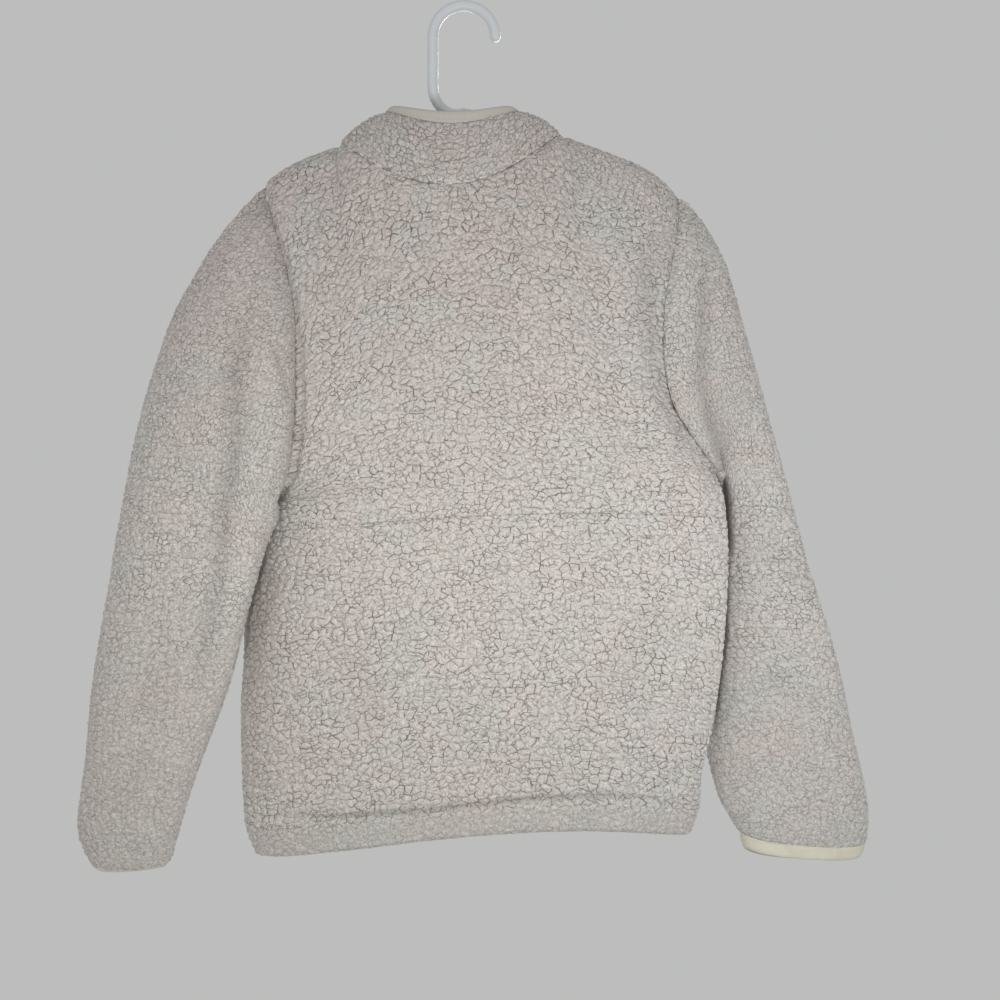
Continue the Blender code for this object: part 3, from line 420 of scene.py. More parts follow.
# Zip teeth
TOOTH_PITCH = 2.9
TOOTH_LENGTH = 1.7
TOOTH_REACH = 3.0
TOOTH_PAST_MIDDLE = 0.9
TOOTH_HALF_HEIGHT = 1.3
TEETH_BELOW_SLIDER = 3.0
TOOTH_START = 0.6
TOOTH_BEVEL = 0.28

# Zip tapes: distances of their columns from the middle
TAPE_COLUMNS = (TAPE_FROM_CENTRE, 4.2, 5.6, ZIP_OPENING / 2, 10.0, TAPE_TO_CENTRE)
TAPE_SPACING = 2.0

# Stitches on the bindings, on the row at one part in this many from the seam
STITCH_ROW = 5
STITCH_LENGTH = 2.2
STITCH_GAP = 1.1
STITCH_RADIUS = 0.28
STITCH_LIFT = 0.35

# Camera, lights and floor: metres and watts, but the floor in millimetres
SENSOR_WIDTH = 36.0
LENS = 44.0
CAMERA_PLACE = (0.0324, -1.1, -0.4403)
SURROUND_STRENGTH = 0.72
FLOOR_Z = -1750
FLOOR_REACH = 2000
Light = namedtuple("Light", "name place target sizes power colour")
JACKET_MIDDLE = (0.0, 0.0, -0.42)
WARM = (1.0, 0.99, 0.97)
LIGHTS = (
    Light("bar", (0.16, -0.56, -0.49), (0.10, 0.0, -0.49), (0.9, 0.12), 2.2, (1.0, 0.99, 0.98)),
    Light("key", (-0.5, -2.3, 0.75), JACKET_MIDDLE, (0.9, 0.9), 3.5, WARM),
    Light("front", (0.4, 2.4, 0.3), JACKET_MIDDLE, (1.2, 1.2), 36, WARM),
)

Panel = namedtuple("Panel", "name grid ring flip wall inset")


def unit(vectors):
    return vectors / np.linalg.norm(vectors, axis=-1, keepdims=True)


def ease(share):
    share = np.clip(share, 0, 1)
    return share * share * (3 - 2 * share)


def lengths_along(points):
    steps = np.linalg.norm(np.diff(points, axis=0), axis=1)
    return np.concatenate([[0], np.cumsum(steps)])


def curve_through(points, knots, at):
    """A smooth curve through the points, one at each knot, read at the places in at."""
    points = np.asarray(points, float)
    knots = np.asarray(knots, float)
    slopes = np.gradient(points, knots, axis=0)
    place = np.clip(np.searchsorted(knots, at, side="right") - 1, 0, len(knots) - 2)
    span = (knots[place + 1] - knots[place])[:, None]
    t = ((at - knots[place])[:, None]) / span
    start, end = points[place], points[place + 1]
    start_slope, end_slope = slopes[place] * span, slopes[place + 1] * span
    return (
        (2 * t**3 - 3 * t**2 + 1) * start
        + (t**3 - 2 * t**2 + t) * start_slope
        + (3 * t**2 - 2 * t**3) * end
        + (t**3 - t**2) * end_slope
    )


def even_along(points, shares):
    """The smooth curve through the points, read at shares of its length."""
    points = np.asarray(points, float)
    knots = lengths_along(points)
    return curve_through(points, knots, np.asarray(shares) * knots[-1])


def armhole_shares():
    """Shares of the way from underarm to shoulder, closer together where the shoulder rounds over."""
    steps = np.linspace(0, 1, ARMHOLE_FACES)
    shares = 0.35 * steps + 0.65 * (1 - np.cos(steps * math.pi)) / 2
    return np.insert(shares, -1, (shares[-2] + 1) / 2)


def armhole_curve(rows):
    return even_along([tuple(row) for row in reversed(rows)], armhole_shares())


def ring_shape(ring, x_share, front):
    """Points of a neck ring; x_share runs from -1 at the left side to 1 at the right."""
    x_share = np.asarray(x_share)
    half_left = NECK_CENTRE_X - ring.left_x
    half_right = ring.right_x - NECK_CENTRE_X
    depth = np.sqrt(np.clip(1 - x_share**2, 0, 1))
    x = NECK_CENTRE_X + np.where(x_share < 0, half_left, half_right) * x_share
    y = depth * (ring.front_y if front else ring.back_y)
    side_z = ring.left_z + (ring.right_z - ring.left_z) * (x_share + 1) / 2
    sag = ring.front_sag if front else ring.back_sag
    return np.stack([x, y, side_z - sag * depth**SAG_POWER], axis=-1)


def neck_shares(front):
    """Where the neck's columns fall across the ring; the front has two beside the zip."""
    if not front:
        return -np.cos(np.linspace(0, math.pi, NECK_FACES + 1))
    half = -np.cos(np.linspace(0, math.pi / 2, NECK_FACES // 2 + 1))
    half[-1] = -ZIP_OPENING / 2 / (NECK_CENTRE_X - NECK_SEAM.left_x)
    return np.concatenate([half, -half[::-1]])


def top_line(front):
    """The panel's top edge: left shoulder ridge, neck seam, right shoulder ridge."""
    steps = np.linspace(0, 1, SHOULDER_FACES + 1)
    left = even_along([(row.x, 0, row.z) for row in LEFT_RIDGE], steps)
    right = even_along([(row.x, 0, row.z) for row in reversed(RIGHT_RIDGE)], steps)
    neck = ring_shape(NECK_SEAM, neck_shares(front), front)
    return np.concatenate([left[:-1], neck, right[1:]])


def trunk_table():
    """Trunk rows at every step from the hem to the underarm."""
    rows = np.array(TRUNK_ROWS, float)
    knots = np.arange(len(rows))
    places = [0.0]
    for row, steps in enumerate(TRUNK_STEPS):
        places += [row + (step + 1) / steps for step in range(steps)]
    return [TrunkRow(*values) for values in curve_through(rows, knots, np.array(places))]


def column_shares(front, height):
    """Each column's place across a row, from -1 to 1; height is 1 at the shoulders."""
    top = top_line(front)[:, 0]
    left, right = NECK_CENTRE_X - top[0], top[-1] - NECK_CENTRE_X
    at_top = np.where(top < NECK_CENTRE_X, (top - NECK_CENTRE_X) / left, (top - NECK_CENTRE_X) / right)
    below = np.sin(np.linspace(-math.pi / 2, math.pi / 2, len(top)))
    if front:
        middle = len(top) // 2
        below[:middle] = np.sin(np.linspace(-math.pi / 2, 0, middle))
        below[middle:] = np.sin(np.linspace(0, math.pi / 2, len(top) - middle))
        below[middle - 1] = -ZIP_OPENING / 2 / HALF_TRUNK
        below[middle] = ZIP_OPENING / 2 / HALF_TRUNK
    return below + (at_top - below) * height


def section_y(shares, left_y, right_y, middle_y):
    """How far out a level section stands, from its left edge at -1 to its right edge at 1."""
    end_y = left_y + (right_y - left_y) * (shares + 1) / 2
    inner_power, outer_power = SECTION_POWERS
    round_out = np.clip(1 - np.abs(shares) ** inner_power, 0, 1) ** outer_power
    return end_y + (middle_y - end_y) * round_out


def row_x(left_x, right_x, centre_x, shares):
    return centre_x + np.where(shares < 0, centre_x - left_x, right_x - centre_x) * shares


def row_points(left, right, centre_x, middle_y, lift, shares):
    """A panel row between its two ends, standing out to middle_y with rounded edges."""
    across = (shares + 1) / 2
    x = row_x(left[0], right[0], centre_x, shares)
    y = section_y(shares, left[1], right[1], middle_y)
    z = left[2] + (right[2] - left[2]) * across + lift * (1 - shares**2) * (1 + shares / 2)
    return np.stack([x, y, z], axis=-1)


def underarm_y(row, x, front):
    """How far out the trunk stands at this x, on its section between the underarms."""
    reach = np.where(x < row.centre_x, row.centre_x - row.left_x, row.right_x - row.centre_x)
    shares = np.clip((x - row.centre_x) / reach, -1, 1)
    return section_y(shares, row.left_y, row.right_y, row.front_y if front else row.back_y)


def panel_grid(front):
    """Points of the whole back or the whole front, a row for each height from the hem up."""
    rows = trunk_table()
    grid = []
    for row in rows:
        left = (row.left_x, row.left_y, row.left_z)
        right = (row.right_x, row.right_y, row.right_z)
        middle_y = row.front_y if front else row.back_y
        shares = column_shares(front, 0)
        grid.append(row_points(left, right, row.centre_x, middle_y, row.lift, shares))
    last = rows[-1]
    middle_y = last.front_y if front else last.back_y
    left_ends = armhole_curve(LEFT_ARMHOLE_FRONT if front else LEFT_ARMHOLE_BACK)
    right_ends = armhole_curve(RIGHT_ARMHOLE_FRONT if front else RIGHT_ARMHOLE_BACK)
    top = top_line(front)
    steps = np.linspace(0, 1, ARMHOLE_FACES + 1)[1:-1]
    for step, left, right in zip(steps, left_ends[1:-1], right_ends[1:-1]):
        drop = (top[0, 2] + top[-1, 2] - left[2] - right[2]) / 2
        height = max(0, 1 - drop / SHOULDER_DROP)
        shares = column_shares(front, ease(step))
        centre_x = last.centre_x + (NECK_CENTRE_X - last.centre_x) * step
        points = row_points(left, right, centre_x, middle_y, last.lift * (1 - step), shares)
        points[:, 1] = underarm_y(last, points[:, 0], front)
        for end, reach in ((left, -shares), (right, shares)):
            gap = end[1] - underarm_y(last, end[0], front)
            points[:, 1] += gap * np.clip(reach, 0, 1) ** 4
        straight_z = top[0, 2] + (top[-1, 2] - top[0, 2]) * (shares + 1) / 2
        points[:, 2] += (top[:, 2] - straight_z) * height
        rounding = 1 - math.sqrt(1 - height**2)
        inside = 1 - np.abs(shares) ** 8
        points[:, 1] += (top[:, 1] - points[:, 1]) * rounding * inside
        grid.append(points)
    grid.append(top)
    return np.array(grid)


def sleeve_ring(row, angles, pinch=0.0):
    """A flattened ring of the sleeve; angle 0 is the outer edge and pi the underarm.

    A positive pinch flattens the back near the underarm and a negative one the front.
    """
    outer = np.array([row.outer_x, row.outer_y, row.outer_z])
    inner = np.array([row.inner_x, row.inner_y, row.inner_z])
    cosine, sine = np.cos(angles), np.sin(angles)
    along = np.sign(cosine) * np.abs(cosine) ** SLEEVE_FLATNESS
    out = np.sign(sine) * np.abs(sine) ** SLEEVE_FLATNESS
    pinched = np.where(sine * pinch > 0, abs(pinch), 0)
    out *= 1 - pinched * ((1 - cosine) / 2) ** 2
    points = (outer + inner) / 2 + (outer - inner) / 2 * along[:, None]
    points[:, 1] -= row.half_depth * out
    points[:, 2] += row.front_drop * np.minimum(out, 0)
    return points


def sleeve_grid(rows, armhole, away, fold_point, underarm_pinch):
    """Rings from the armhole seam to the cuff's edge."""
    numbers = np.array(rows, float)
    outer = lengths_along(numbers[:, 0:3])
    inner = lengths_along(numbers[:, 3:6])
    knots = outer / outer[-1] + inner / inner[-1]
    places = knots[-1] * np.linspace(0, 1, SLEEVE_ROWS + 1) ** SLEEVE_ROW_SPREAD
    smooth = [SleeveRow(*values) for values in curve_through(numbers, knots, places)]
    turn = ring_angles(fold_point)
    at_seam = armhole - sleeve_ring(smooth[0], turn, underarm_pinch)
    outward = (1 + np.cos(turn)) / 2
    cap = CAP_LENGTH * (CAP_AT_UNDERARM + (1 - CAP_AT_UNDERARM) * outward)
    stand_off = away * STAND_OFF * ((1 - outward) ** 2)[:, None]
    grid = []
    for row, place in zip(smooth, places / knots[-1]):
        pinch = underarm_pinch * (1 - ease(place / PINCH_LENGTH))
        still = 1 - ease(place / cap)
        beside_trunk = ease(place / STAND_OFF_FROM) * (1 - ease(place / STAND_OFF_TO))
        ring = sleeve_ring(row, turn, pinch)
        grid.append(ring + at_seam * still[:, None] + stand_off * beside_trunk)
    return np.array(grid), turn


def ring_angles(fold_point):
    """Angles round a sleeve, matched to the heights of the armhole's points, pi at one of them."""
    shares = armhole_shares()[::-1]
    back = np.arccos(np.clip(2 * shares - 1, -1, 1))
    front = 2 * math.pi - back[::-1]
    even = np.linspace(0, 2 * math.pi, len(back) + len(front) - 2, endpoint=False)
    angles = (np.concatenate([back[:-1], front[:-1]]) + even) / 2
    fold = angles[fold_point]
    return np.interp(angles, [0, fold, 2 * math.pi], [0, math.pi, 2 * math.pi])


def armhole_ring(back, front, column):
    """The armhole's points: shoulder, down the back to the underarm, up the front."""
    first = len(trunk_table()) - 1
    down = back[first:, column][::-1]
    up = front[first + 1 : -1, column]
    return np.concatenate([down, up])


def collar_row(share, front):
    """A ring of the collar between the neck seam and its top edge."""
    shares = neck_shares(front)
    low = ring_shape(NECK_SEAM, shares, front)
    high = ring_shape(COLLAR_EDGE, shares, front)
    rise = math.sin(share * math.pi / 2)
    points = low + (high - low) * share
    depth = np.sqrt(np.clip(1 - shares**2, 0, 1))
    upright = low[:, 2] + (high[:, 2] - low[:, 2]) * (share * depth + rise * (1 - depth))
    points[:, 2] = upright
    puff = COLLAR_BULGE * math.sin(share * math.pi) * depth
    points[:, 1] += puff if front else -puff
    return points


def full_ring(back, front):
    """One ring from the left side over the back, then over the front from right to left."""
    return np.concatenate([back, front[::-1][1:-1]])


def collar_grid():
    rows = []
    for share in np.linspace(0, 1, COLLAR_ROWS + 1):
        rows.append(full_ring(collar_row(share, False), collar_row(share, True)))
    return np.array(rows)


def binding_ring():
    back = ring_shape(BINDING_EDGE, neck_shares(False), False)
    front = ring_shape(BINDING_EDGE, neck_shares(True), True)
    return full_ring(back, front)


def opened_at_zip(ring_grid):
    """A closed neck grid cut open at the zip, starting beside it on the left."""
    count = ring_grid.shape[1]
    start = count - NECK_FACES // 2
    order = [(start + step) % count for step in range(count)]
    return ring_grid[:, order]


def surface_normals(panels):
    """Outward normals shared by the panels, keyed by place."""
    sums = {}
    for panel in panels:
        grid = panel.grid
        if panel.ring:
            grid = np.concatenate([grid, grid[:, :1]], axis=1)
        a, b = grid[:-1, :-1], grid[:-1, 1:]
        c, d = grid[1:, 1:], grid[1:, :-1]
        normals = np.cross(c - a, d - b)
        if panel.flip:
            normals = -normals
        for corner in (a, b, c, d):
            for place, normal in zip(corner.reshape(-1, 3), normals.reshape(-1, 3)):
                key = tuple(np.round(place, 4))
                sums[key] = sums.get(key, 0) + normal
    return sums


def grid_normals(grid, sums):
    normals = [sums[tuple(np.round(place, 4))] for place in grid.reshape(-1, 3)]
    return unit(np.array(normals).reshape(grid.shape))


def zip_rows(panels, sums):
    """The front opening from hem to collar edge: points, normals and wall by row.

    The columns run across the opening: the next column of the left panel, its edge, the
    middle, the right panel's edge and its next column.
    """
    named = {panel.name: panel for panel in panels}
    points, normals, walls = [], [], []
    left, right = named["left_front"], named["right_front"]
    collar = named["collar"]
    fleece_walls = np.full(len(collar.grid), FLEECE_WALL)
    sides = (
        (left.grid[:, [-2, -1]], right.grid[:, [0, 1]], left.wall, 0),
        (collar.grid[:, [1, 0]], collar.grid[:, [-1, -2]], fleece_walls, 1),
    )
    for left_pair, right_pair, pair_walls, first in sides:
        left_normals = grid_normals(left_pair, sums)
        right_normals = grid_normals(right_pair, sums)
        for row in range(first, len(left_pair)):
            middle = (left_pair[row, 1] + right_pair[row, 0]) / 2
            middle_normal = unit(left_normals[row, 1] + right_normals[row, 0])
            points.append([*left_pair[row], middle, *right_pair[row]])
            normals.append([*left_normals[row], middle_normal, *right_normals[row]])
            walls.append(pair_walls[row])
    return np.array(points), np.array(normals), np.array(walls)


def at_distance(points, normals, distance):
    """Points and normals this far across from the opening's middle, negative to the left."""
    side = 1 if distance > 0 else -1
    middle, edge, beyond = points[:, 2], points[:, 2 + side], points[:, 2 + 2 * side]
    half = np.linalg.norm(edge - middle, axis=1)[:, None]
    step = np.linalg.norm(beyond - edge, axis=1)[:, None]
    inside = np.clip(abs(distance) / half, 0, 1)
    outside = np.clip((abs(distance) - half) / step, 0, None)
    place = middle + (edge - middle) * inside + (beyond - edge) * outside
    edge_normal, beyond_normal = normals[:, 2 + side], normals[:, 2 + 2 * side]
    normal = normals[:, 2] + (edge_normal - normals[:, 2]) * inside
    return place, normal + (beyond_normal - edge_normal) * outside


def cut_below_top(opening, distance):
    """The opening's rows without the last stretch below the collar's edge."""
    points, normals, walls = opening
    along = lengths_along(points[:, 2])
    end = along[-1] - distance
    last = int(np.searchsorted(along, end)) - 1
    share = (end - along[last]) / (along[last + 1] - along[last])

    def ended(values):
        final = values[last] + (values[last + 1] - values[last]) * share
        return np.concatenate([values[: last + 1], final[None]])

    return ended(points), ended(normals), ended(walls)


def arc(centre, radius, start, end, steps):
    """Points of a circle's arc in the hanger's plane, angles from +X towards +Z."""
    angles = np.linspace(start, end, steps + 1)
    return [
        (centre[0] + radius * math.cos(angle), centre[1] + radius * math.sin(angle))
        for angle in angles
    ]


def hanger_half():
    """The right arm from its apex, down round its end and back along the bar."""
    arm_start = (ARM_START_X, ARM_APEX_Z - ARM_START_X * math.tan(ARM_SLOPE))
    arm_end = (ARM_STRAIGHT_X, ARM_APEX_Z - ARM_STRAIGHT_X * math.tan(ARM_SLOPE))
    points = [(0, ARM_APEX_Z - APEX_DROP)]
    for step in range(ARM_STEPS):
        share = step / ARM_STEPS
        x = arm_start[0] + (arm_end[0] - arm_start[0]) * share
        points.append((x, arm_start[1] + (arm_end[1] - arm_start[1]) * share))
    bend = SHOULDER_BEND_RADIUS
    centre = (arm_end[0] - bend * math.sin(ARM_SLOPE), arm_end[1] - bend * math.cos(ARM_SLOPE))
    start, turn = math.pi / 2 - ARM_SLOPE, math.pi / 2 - SHOULDER_BEND_TO
    points += arc(centre, bend, start, turn, 4)
    last = points[-1]
    centre = (last[0] - END_RADIUS * math.cos(turn), last[1] - END_RADIUS * math.sin(turn))
    points += arc(centre, END_RADIUS, turn, -math.pi / 2, 8)[1:]
    last = points[-1]
    points += [(last[0] * (1 - step / ARM_STEPS), last[1]) for step in range(1, ARM_STEPS)]
    return points + [(0, last[1])]


def jacket_panels():
    """Every cloth panel of the jacket as a grid of its outer surface."""
    back = panel_grid(False)
    front = panel_grid(True)
    trunk = [
        Panel("back", back, False, False, FLEECE_WALL, 0),
        Panel("front", front, False, True, FLEECE_WALL, 0),
    ]
    sums = surface_normals(trunk)
    sleeves, cuffs = [], []
    for column, rows, cuff_row, fold_point, pinch in (
        (0, LEFT_SLEEVE_ROWS, LEFT_CUFF_ROW, LEFT_FOLD_POINT, LEFT_PINCH),
        (-1, RIGHT_SLEEVE_ROWS, RIGHT_CUFF_ROW, RIGHT_FOLD_POINT, RIGHT_PINCH),
    ):
        armhole = armhole_ring(back, front, column)
        sleeve, turn = sleeve_grid(rows, armhole, grid_normals(armhole, sums), fold_point, pinch)
        sleeves.append(sleeve)
        cuffs.append(np.array([sleeve[-1], sleeve_ring(cuff_row, turn)]))
    collar = collar_grid()
    edge = np.array([collar[-1], binding_ring()])
    middle = front.shape[1] // 2
    walls = np.full(len(back), FLEECE_WALL)
    walls[: HEM_STITCH_ROW + 1] = HEM_WALL
    collar_open = opened_at_zip(collar)
    edge_open = opened_at_zip(edge)
    low, high = slice(0, BACK_SEAM_ROW + 1), slice(BACK_SEAM_ROW, None)
    return [
        Panel("back_lower", back[low], False, False, walls[low], 0),
        Panel("back_upper", back[high], False, False, walls[high], 0),
        Panel("left_front", front[:, :middle], False, True, walls, 0),
        Panel("right_front", front[:, middle:], False, True, walls, 0),
        Panel("left_sleeve", sleeves[0], True, True, FLEECE_WALL, 0),
        Panel("right_sleeve", sleeves[1], True, False, FLEECE_WALL, 0),
        Panel("collar", collar_open, False, False, FLEECE_WALL, 0),
        Panel("collar_binding", edge_open, False, False, BINDING_WALL, BINDING_INSET),
        Panel("left_cuff_binding", cuffs[0], True, True, BINDING_WALL, BINDING_INSET),
        Panel("right_cuff_binding", cuffs[1], True, False, BINDING_WALL, BINDING_INSET),
    ]


def even_places(grid, axis, spacing, step, closed):
    """Places among the coarse points at even lengths, a whole number of inner steps."""
    count = grid.shape[axis]
    steps = np.linalg.norm(np.diff(grid, axis=axis), axis=2).mean(axis=1 - axis)
    lengths = np.concatenate([[0], np.cumsum(steps)])
    pieces = max(2, round(lengths[-1] / spacing / step)) * step
    places = np.interp(np.linspace(0, lengths[-1], pieces + 1), lengths, np.arange(count))
    return places[:-1] if closed else places


def fine_grid(grid, ring, spacing, carried=None):
    """The smooth surface through a coarse grid at about this spacing, and what it carries."""
    values = grid if carried is None else np.concatenate([grid, carried], axis=2)
    rows, _, width = values.shape
    if ring:
        around = np.concatenate([values[:, -2:], values, values[:, :3]], axis=1)
        closed = np.concatenate([grid, grid[:, :1]], axis=1)
        across = even_places(closed, 1, spacing, INNER_STEP, True) + 2
    else:
        around, closed = values, grid
        across = even_places(grid, 1, spacing, INNER_STEP, False)
    up = even_places(closed, 0, spacing, INNER_STEP, False)
    flat = around.transpose(1, 0, 2).reshape(around.shape[1], -1)
    smooth = curve_through(flat, np.arange(around.shape[1]), across)
    smooth = smooth.reshape(len(across), rows, width).transpose(1, 0, 2).reshape(rows, -1)
    smooth = curve_through(smooth, np.arange(rows), up)
    return smooth.reshape(len(up), len(across), width)


def smoothed_up(values, spacing):
    """The rows blended with those above and below, the first and last left as they are."""
    values = values.copy()
    for _ in range(round(2 * (BLEND_LENGTH / spacing) ** 2)):
        values[1:-1] = (values[:-2] + 2 * values[1:-1] + values[2:]) / 4
    return values


def slopes_of(grid, ring):
    """Steps along the rows and up the columns at each point of a grid."""
    if ring:
        across = (np.roll(grid, -1, axis=1) - np.roll(grid, 1, axis=1)) / 2
    else:
        across = np.gradient(grid, axis=1)
    return across, np.gradient(grid, axis=0)


def own_normals(grid, ring, flip):
    across, up = slopes_of(grid, ring)
    return unit(np.cross(across, up)) * (-1 if flip else 1)


def edge_distances(grid, ring):
    """How far each point lies from the low, high, left and right edge of its grid."""
    across, up = slopes_of(grid, ring)
    climbed = np.cumsum(np.linalg.norm(up, axis=2), axis=0)
    climbed -= climbed[:1]
    walked = np.cumsum(np.linalg.norm(across, axis=2), axis=1)
    walked -= walked[:, :1]
    return {
        "low": climbed,
        "high": climbed[-1:] - climbed,
        "left": walked,
        "right": walked[:, -1:] - walked,
    }


def line_distance(places, line):
    """How far each place lies from a line, and what share of the line lies before it."""
    line = np.array(line, float)
    before = lengths_along(line)
    nearest = np.full(places.shape[:-1], np.inf)
    passed = np.zeros(places.shape[:-1])
    for start, end, walked in zip(line[:-1], line[1:], before):
        step = end - start
        size = np.linalg.norm(step)
        share = np.clip((places - start) @ step / size**2, 0, 1)
        gap = np.linalg.norm(places - start - share[..., None] * step, axis=-1)
        closer = gap < nearest
        nearest = np.where(closer, gap, nearest)
        passed = np.where(closer, (walked + share * size) / before[-1], passed)
    return nearest, passed


def closed_line(points):
    return np.concatenate([points, points[:1]])


def jacket_seams():
    """Every seam that two panels share, the two armholes last."""
    back, front = panel_grid(False), panel_grid(True)
    underarm = len(trunk_table())
    seams = [
        Seam(back[:underarm, 0], SIDE_DIP, False),
        Seam(back[:underarm, -1], SIDE_DIP, False),
        Seam(back[BACK_SEAM_ROW], MIDDLE_DIP, False),
        Seam(back[-1, : SHOULDER_FACES + 1], SHOULDER_DIP, False),
        Seam(back[-1, -SHOULDER_FACES - 1 :], SHOULDER_DIP, False),
        Seam(closed_line(collar_grid()[0]), NECK_DIP, False),
    ]
    for column in (0, -1):
        seams.append(Seam(closed_line(armhole_ring(back, front, column)), ARMHOLE_DIP, True))
    return seams


def rumple(points):
    """Slow, shallow waves in the hanging cloth."""
    chance = np.random.default_rng(RUMPLE_SEED)
    height = np.zeros(points.shape[:-1])
    for _ in range(RUMPLE_WAVES):
        direction = unit(chance.normal(size=3) * (1, 0.6, 0.8))
        length = chance.uniform(*RUMPLE_LENGTHS)
        turn = chance.uniform(0, 2 * math.pi)
        height += np.sin(points @ direction * (2 * math.pi / length) + turn)
    return height * RUMPLE_HEIGHT / math.sqrt(RUMPLE_WAVES)


def hung_over(panel, reach):
    """The panel with its cloth carried this far past its last row, over the binding."""
    onward = unit(panel.grid[-1] - panel.grid[-2]) * reach
    return panel._replace(grid=np.concatenate([panel.grid, panel.grid[-1:] + onward]))


def cloth_places(panel, distances):
    """Each point's place on the flat cloth: across from the middle, and up the piece."""
    walked = distances["left"]
    if panel.ring:
        total = walked[:, -1:] + np.diff(walked[:, -2:])
        across = np.where(walked < total / 2, walked, walked - total)
        up = -distances["high"]
    else:
        middle = walked.shape[1] // 2
        across = walked - walked[:, middle : middle + 1]
        up = distances["low"]
    return np.stack([across + PIECE_STRIDE * PIECES.index(panel.name), up, 0 * up], axis=-1)


def combing(panel, grid, distances):
    """Where the pile lies smooth, with few cracks: hem band, cuffs, forearms, collar's top."""
    to_end = distances["high"]
    if panel.name in SLEEVE_COMBING:
        comb = SLEEVE_COMBING[panel.name]
        near_cuff = comb.at_cuff * ease(1 - to_end / comb.cuff_length)
        on_arm = comb.on_arm * ease((comb.arm_z - grid[..., 2]) / comb.arm_drop)
        return np.maximum(near_cuff, on_arm)
    if panel.name == "collar":
        return COLLAR_COMBING * ease(1 - to_end / COMB_FADE)
    if panel.name in ("back_lower", "left_front", "right_front"):
        return ease((HEM_BAND - distances["low"]) / COMB_FADE + 0.5)
    return np.zeros(grid.shape[:2])


def lowest_near(values, reach, ring):
    """The lowest of the values within this many points of each one."""
    for axis in (0, 1):
        places = np.arange(values.shape[axis])
        mode = "wrap" if ring and axis == 1 else "clip"
        steps = range(-reach, reach + 1)
        values = np.min([np.take(values, places + step, axis, mode=mode) for step in steps], axis=0)
    return values


def panel_relief(panel, seams, grid, normals, distances):
    """Four grids: how far each point moves out, how far the wall behind it sinks with its
    neighbours, how much shade is painted there, and how far the nearest seam's shade line is."""
    out = np.zeros(grid.shape[:2])
    dark = np.zeros(grid.shape[:2])
    line = np.full(grid.shape[:2], np.inf)
    if "binding" not in panel.name:
        gaps = [line_distance(grid, seam.line)[0] for seam in seams]
        low_down = ease((ARMHOLE_LINE_Z - grid[..., 2]) / ARMHOLE_LINE_FADE)
        low_down = ARMHOLE_LINE_HIGH_UP + (1 - ARMHOLE_LINE_HIGH_UP) * low_down
        for seam, gap in zip(seams, gaps):
            out -= seam.dip.depth * np.exp(-((gap / seam.dip.width) ** 2))
            # How much painted shade the seam's line gets, less of it high on an armhole.
            shown = seam.dip.dark * (low_down if seam.armhole else 1)
            line = np.minimum(line, gap + (1 - shown) * SEAM_LINE)
        # Each armhole valley sinks and takes painted shade in its bottom.
        for valley, gap in zip(VALLEYS, gaps[-len(VALLEYS) :]):
            width = valley.sleeve_width if panel.ring else valley.trunk_width
            valley_shade = valley.sleeve_dark if panel.ring else valley.trunk_dark
            fall = np.exp(-((gap / width) ** 2)) * np.clip(0.5 - normals[..., 1], 0, 1)
            out -= valley.depth * fall
            dark = np.maximum(dark, valley_shade * fall)
        out += rumple(grid) * ease(np.min(gaps, axis=0) / RUMPLE_FADE)
    for crease in CREASES:
        if crease.panel == panel.name:
            gap, passed = line_distance(grid[..., [0, 2]], crease.line)
            taper = ease(passed / CREASE_TAPER + 0.1) * ease((1 - passed) / CREASE_TAPER + 0.1)
            facing = np.clip(normals[..., 1] * crease.side * 3 + 1, 0, 1)
            fall = np.exp(-((gap / crease.width) ** 2)) * taper * facing
            out += crease.depth * fall
            dark = np.maximum(dark, crease.dark * fall)
    sunk = np.minimum(lowest_near(out, INNER_STEP, panel.ring), 0)
    for edge in EDGES[panel.name]:
        out -= edge.depth * np.exp(-((distances[edge.side] / edge.width) ** 2))
    return out, sunk, dark, line


def tipped_cuff(panel):
    """The right sleeve's or its binding's panel, tipped near the cuff as the cloth hangs."""
    cuff = panel.grid[-1] if panel.name == "right_sleeve" else panel.grid[0]
    middle = (cuff.min(axis=0) + cuff.max(axis=0)) / 2
    half = (cuff.max(axis=0) - cuff.min(axis=0)) / 2
    share = np.clip((panel.grid - middle) / half, -1, 1)
    above = panel.grid[..., 2] - middle[2]
    lift = CUFF_TIP * share[..., 1] + CUFF_SKEW * share[..., 0] + CUFF_LIFT
    moved = panel.grid.copy()
    moved[..., 2] += lift * ease(1 - above / CUFF_TIP_LENGTH)
    return panel._replace(grid=moved)


def rim_faces(outer, inner, turned):
    """Triangles between an outer edge and the inner edge, a point for each inner step."""
    faces = []
    for place in range(len(inner) - 1):
        first = place * INNER_STEP
        middle = first + INNER_STEP // 2
        near, far = inner[place], inner[place + 1]
        for step in range(first, first + INNER_STEP):
            corner = near if step < middle else far
            faces.append((outer[step], corner, outer[step + 1]))
        faces.append((outer[middle], near, far))
    return [face[::-1] for face in faces] if turned else faces


def grid_faces(index, turned):
    quads = np.stack([index[:-1, :-1], index[:-1, 1:], index[1:, 1:], index[1:, :-1]], axis=-1)
    quads = quads.reshape(-1, 4)
    return quads[:, ::-1] if turned else quads


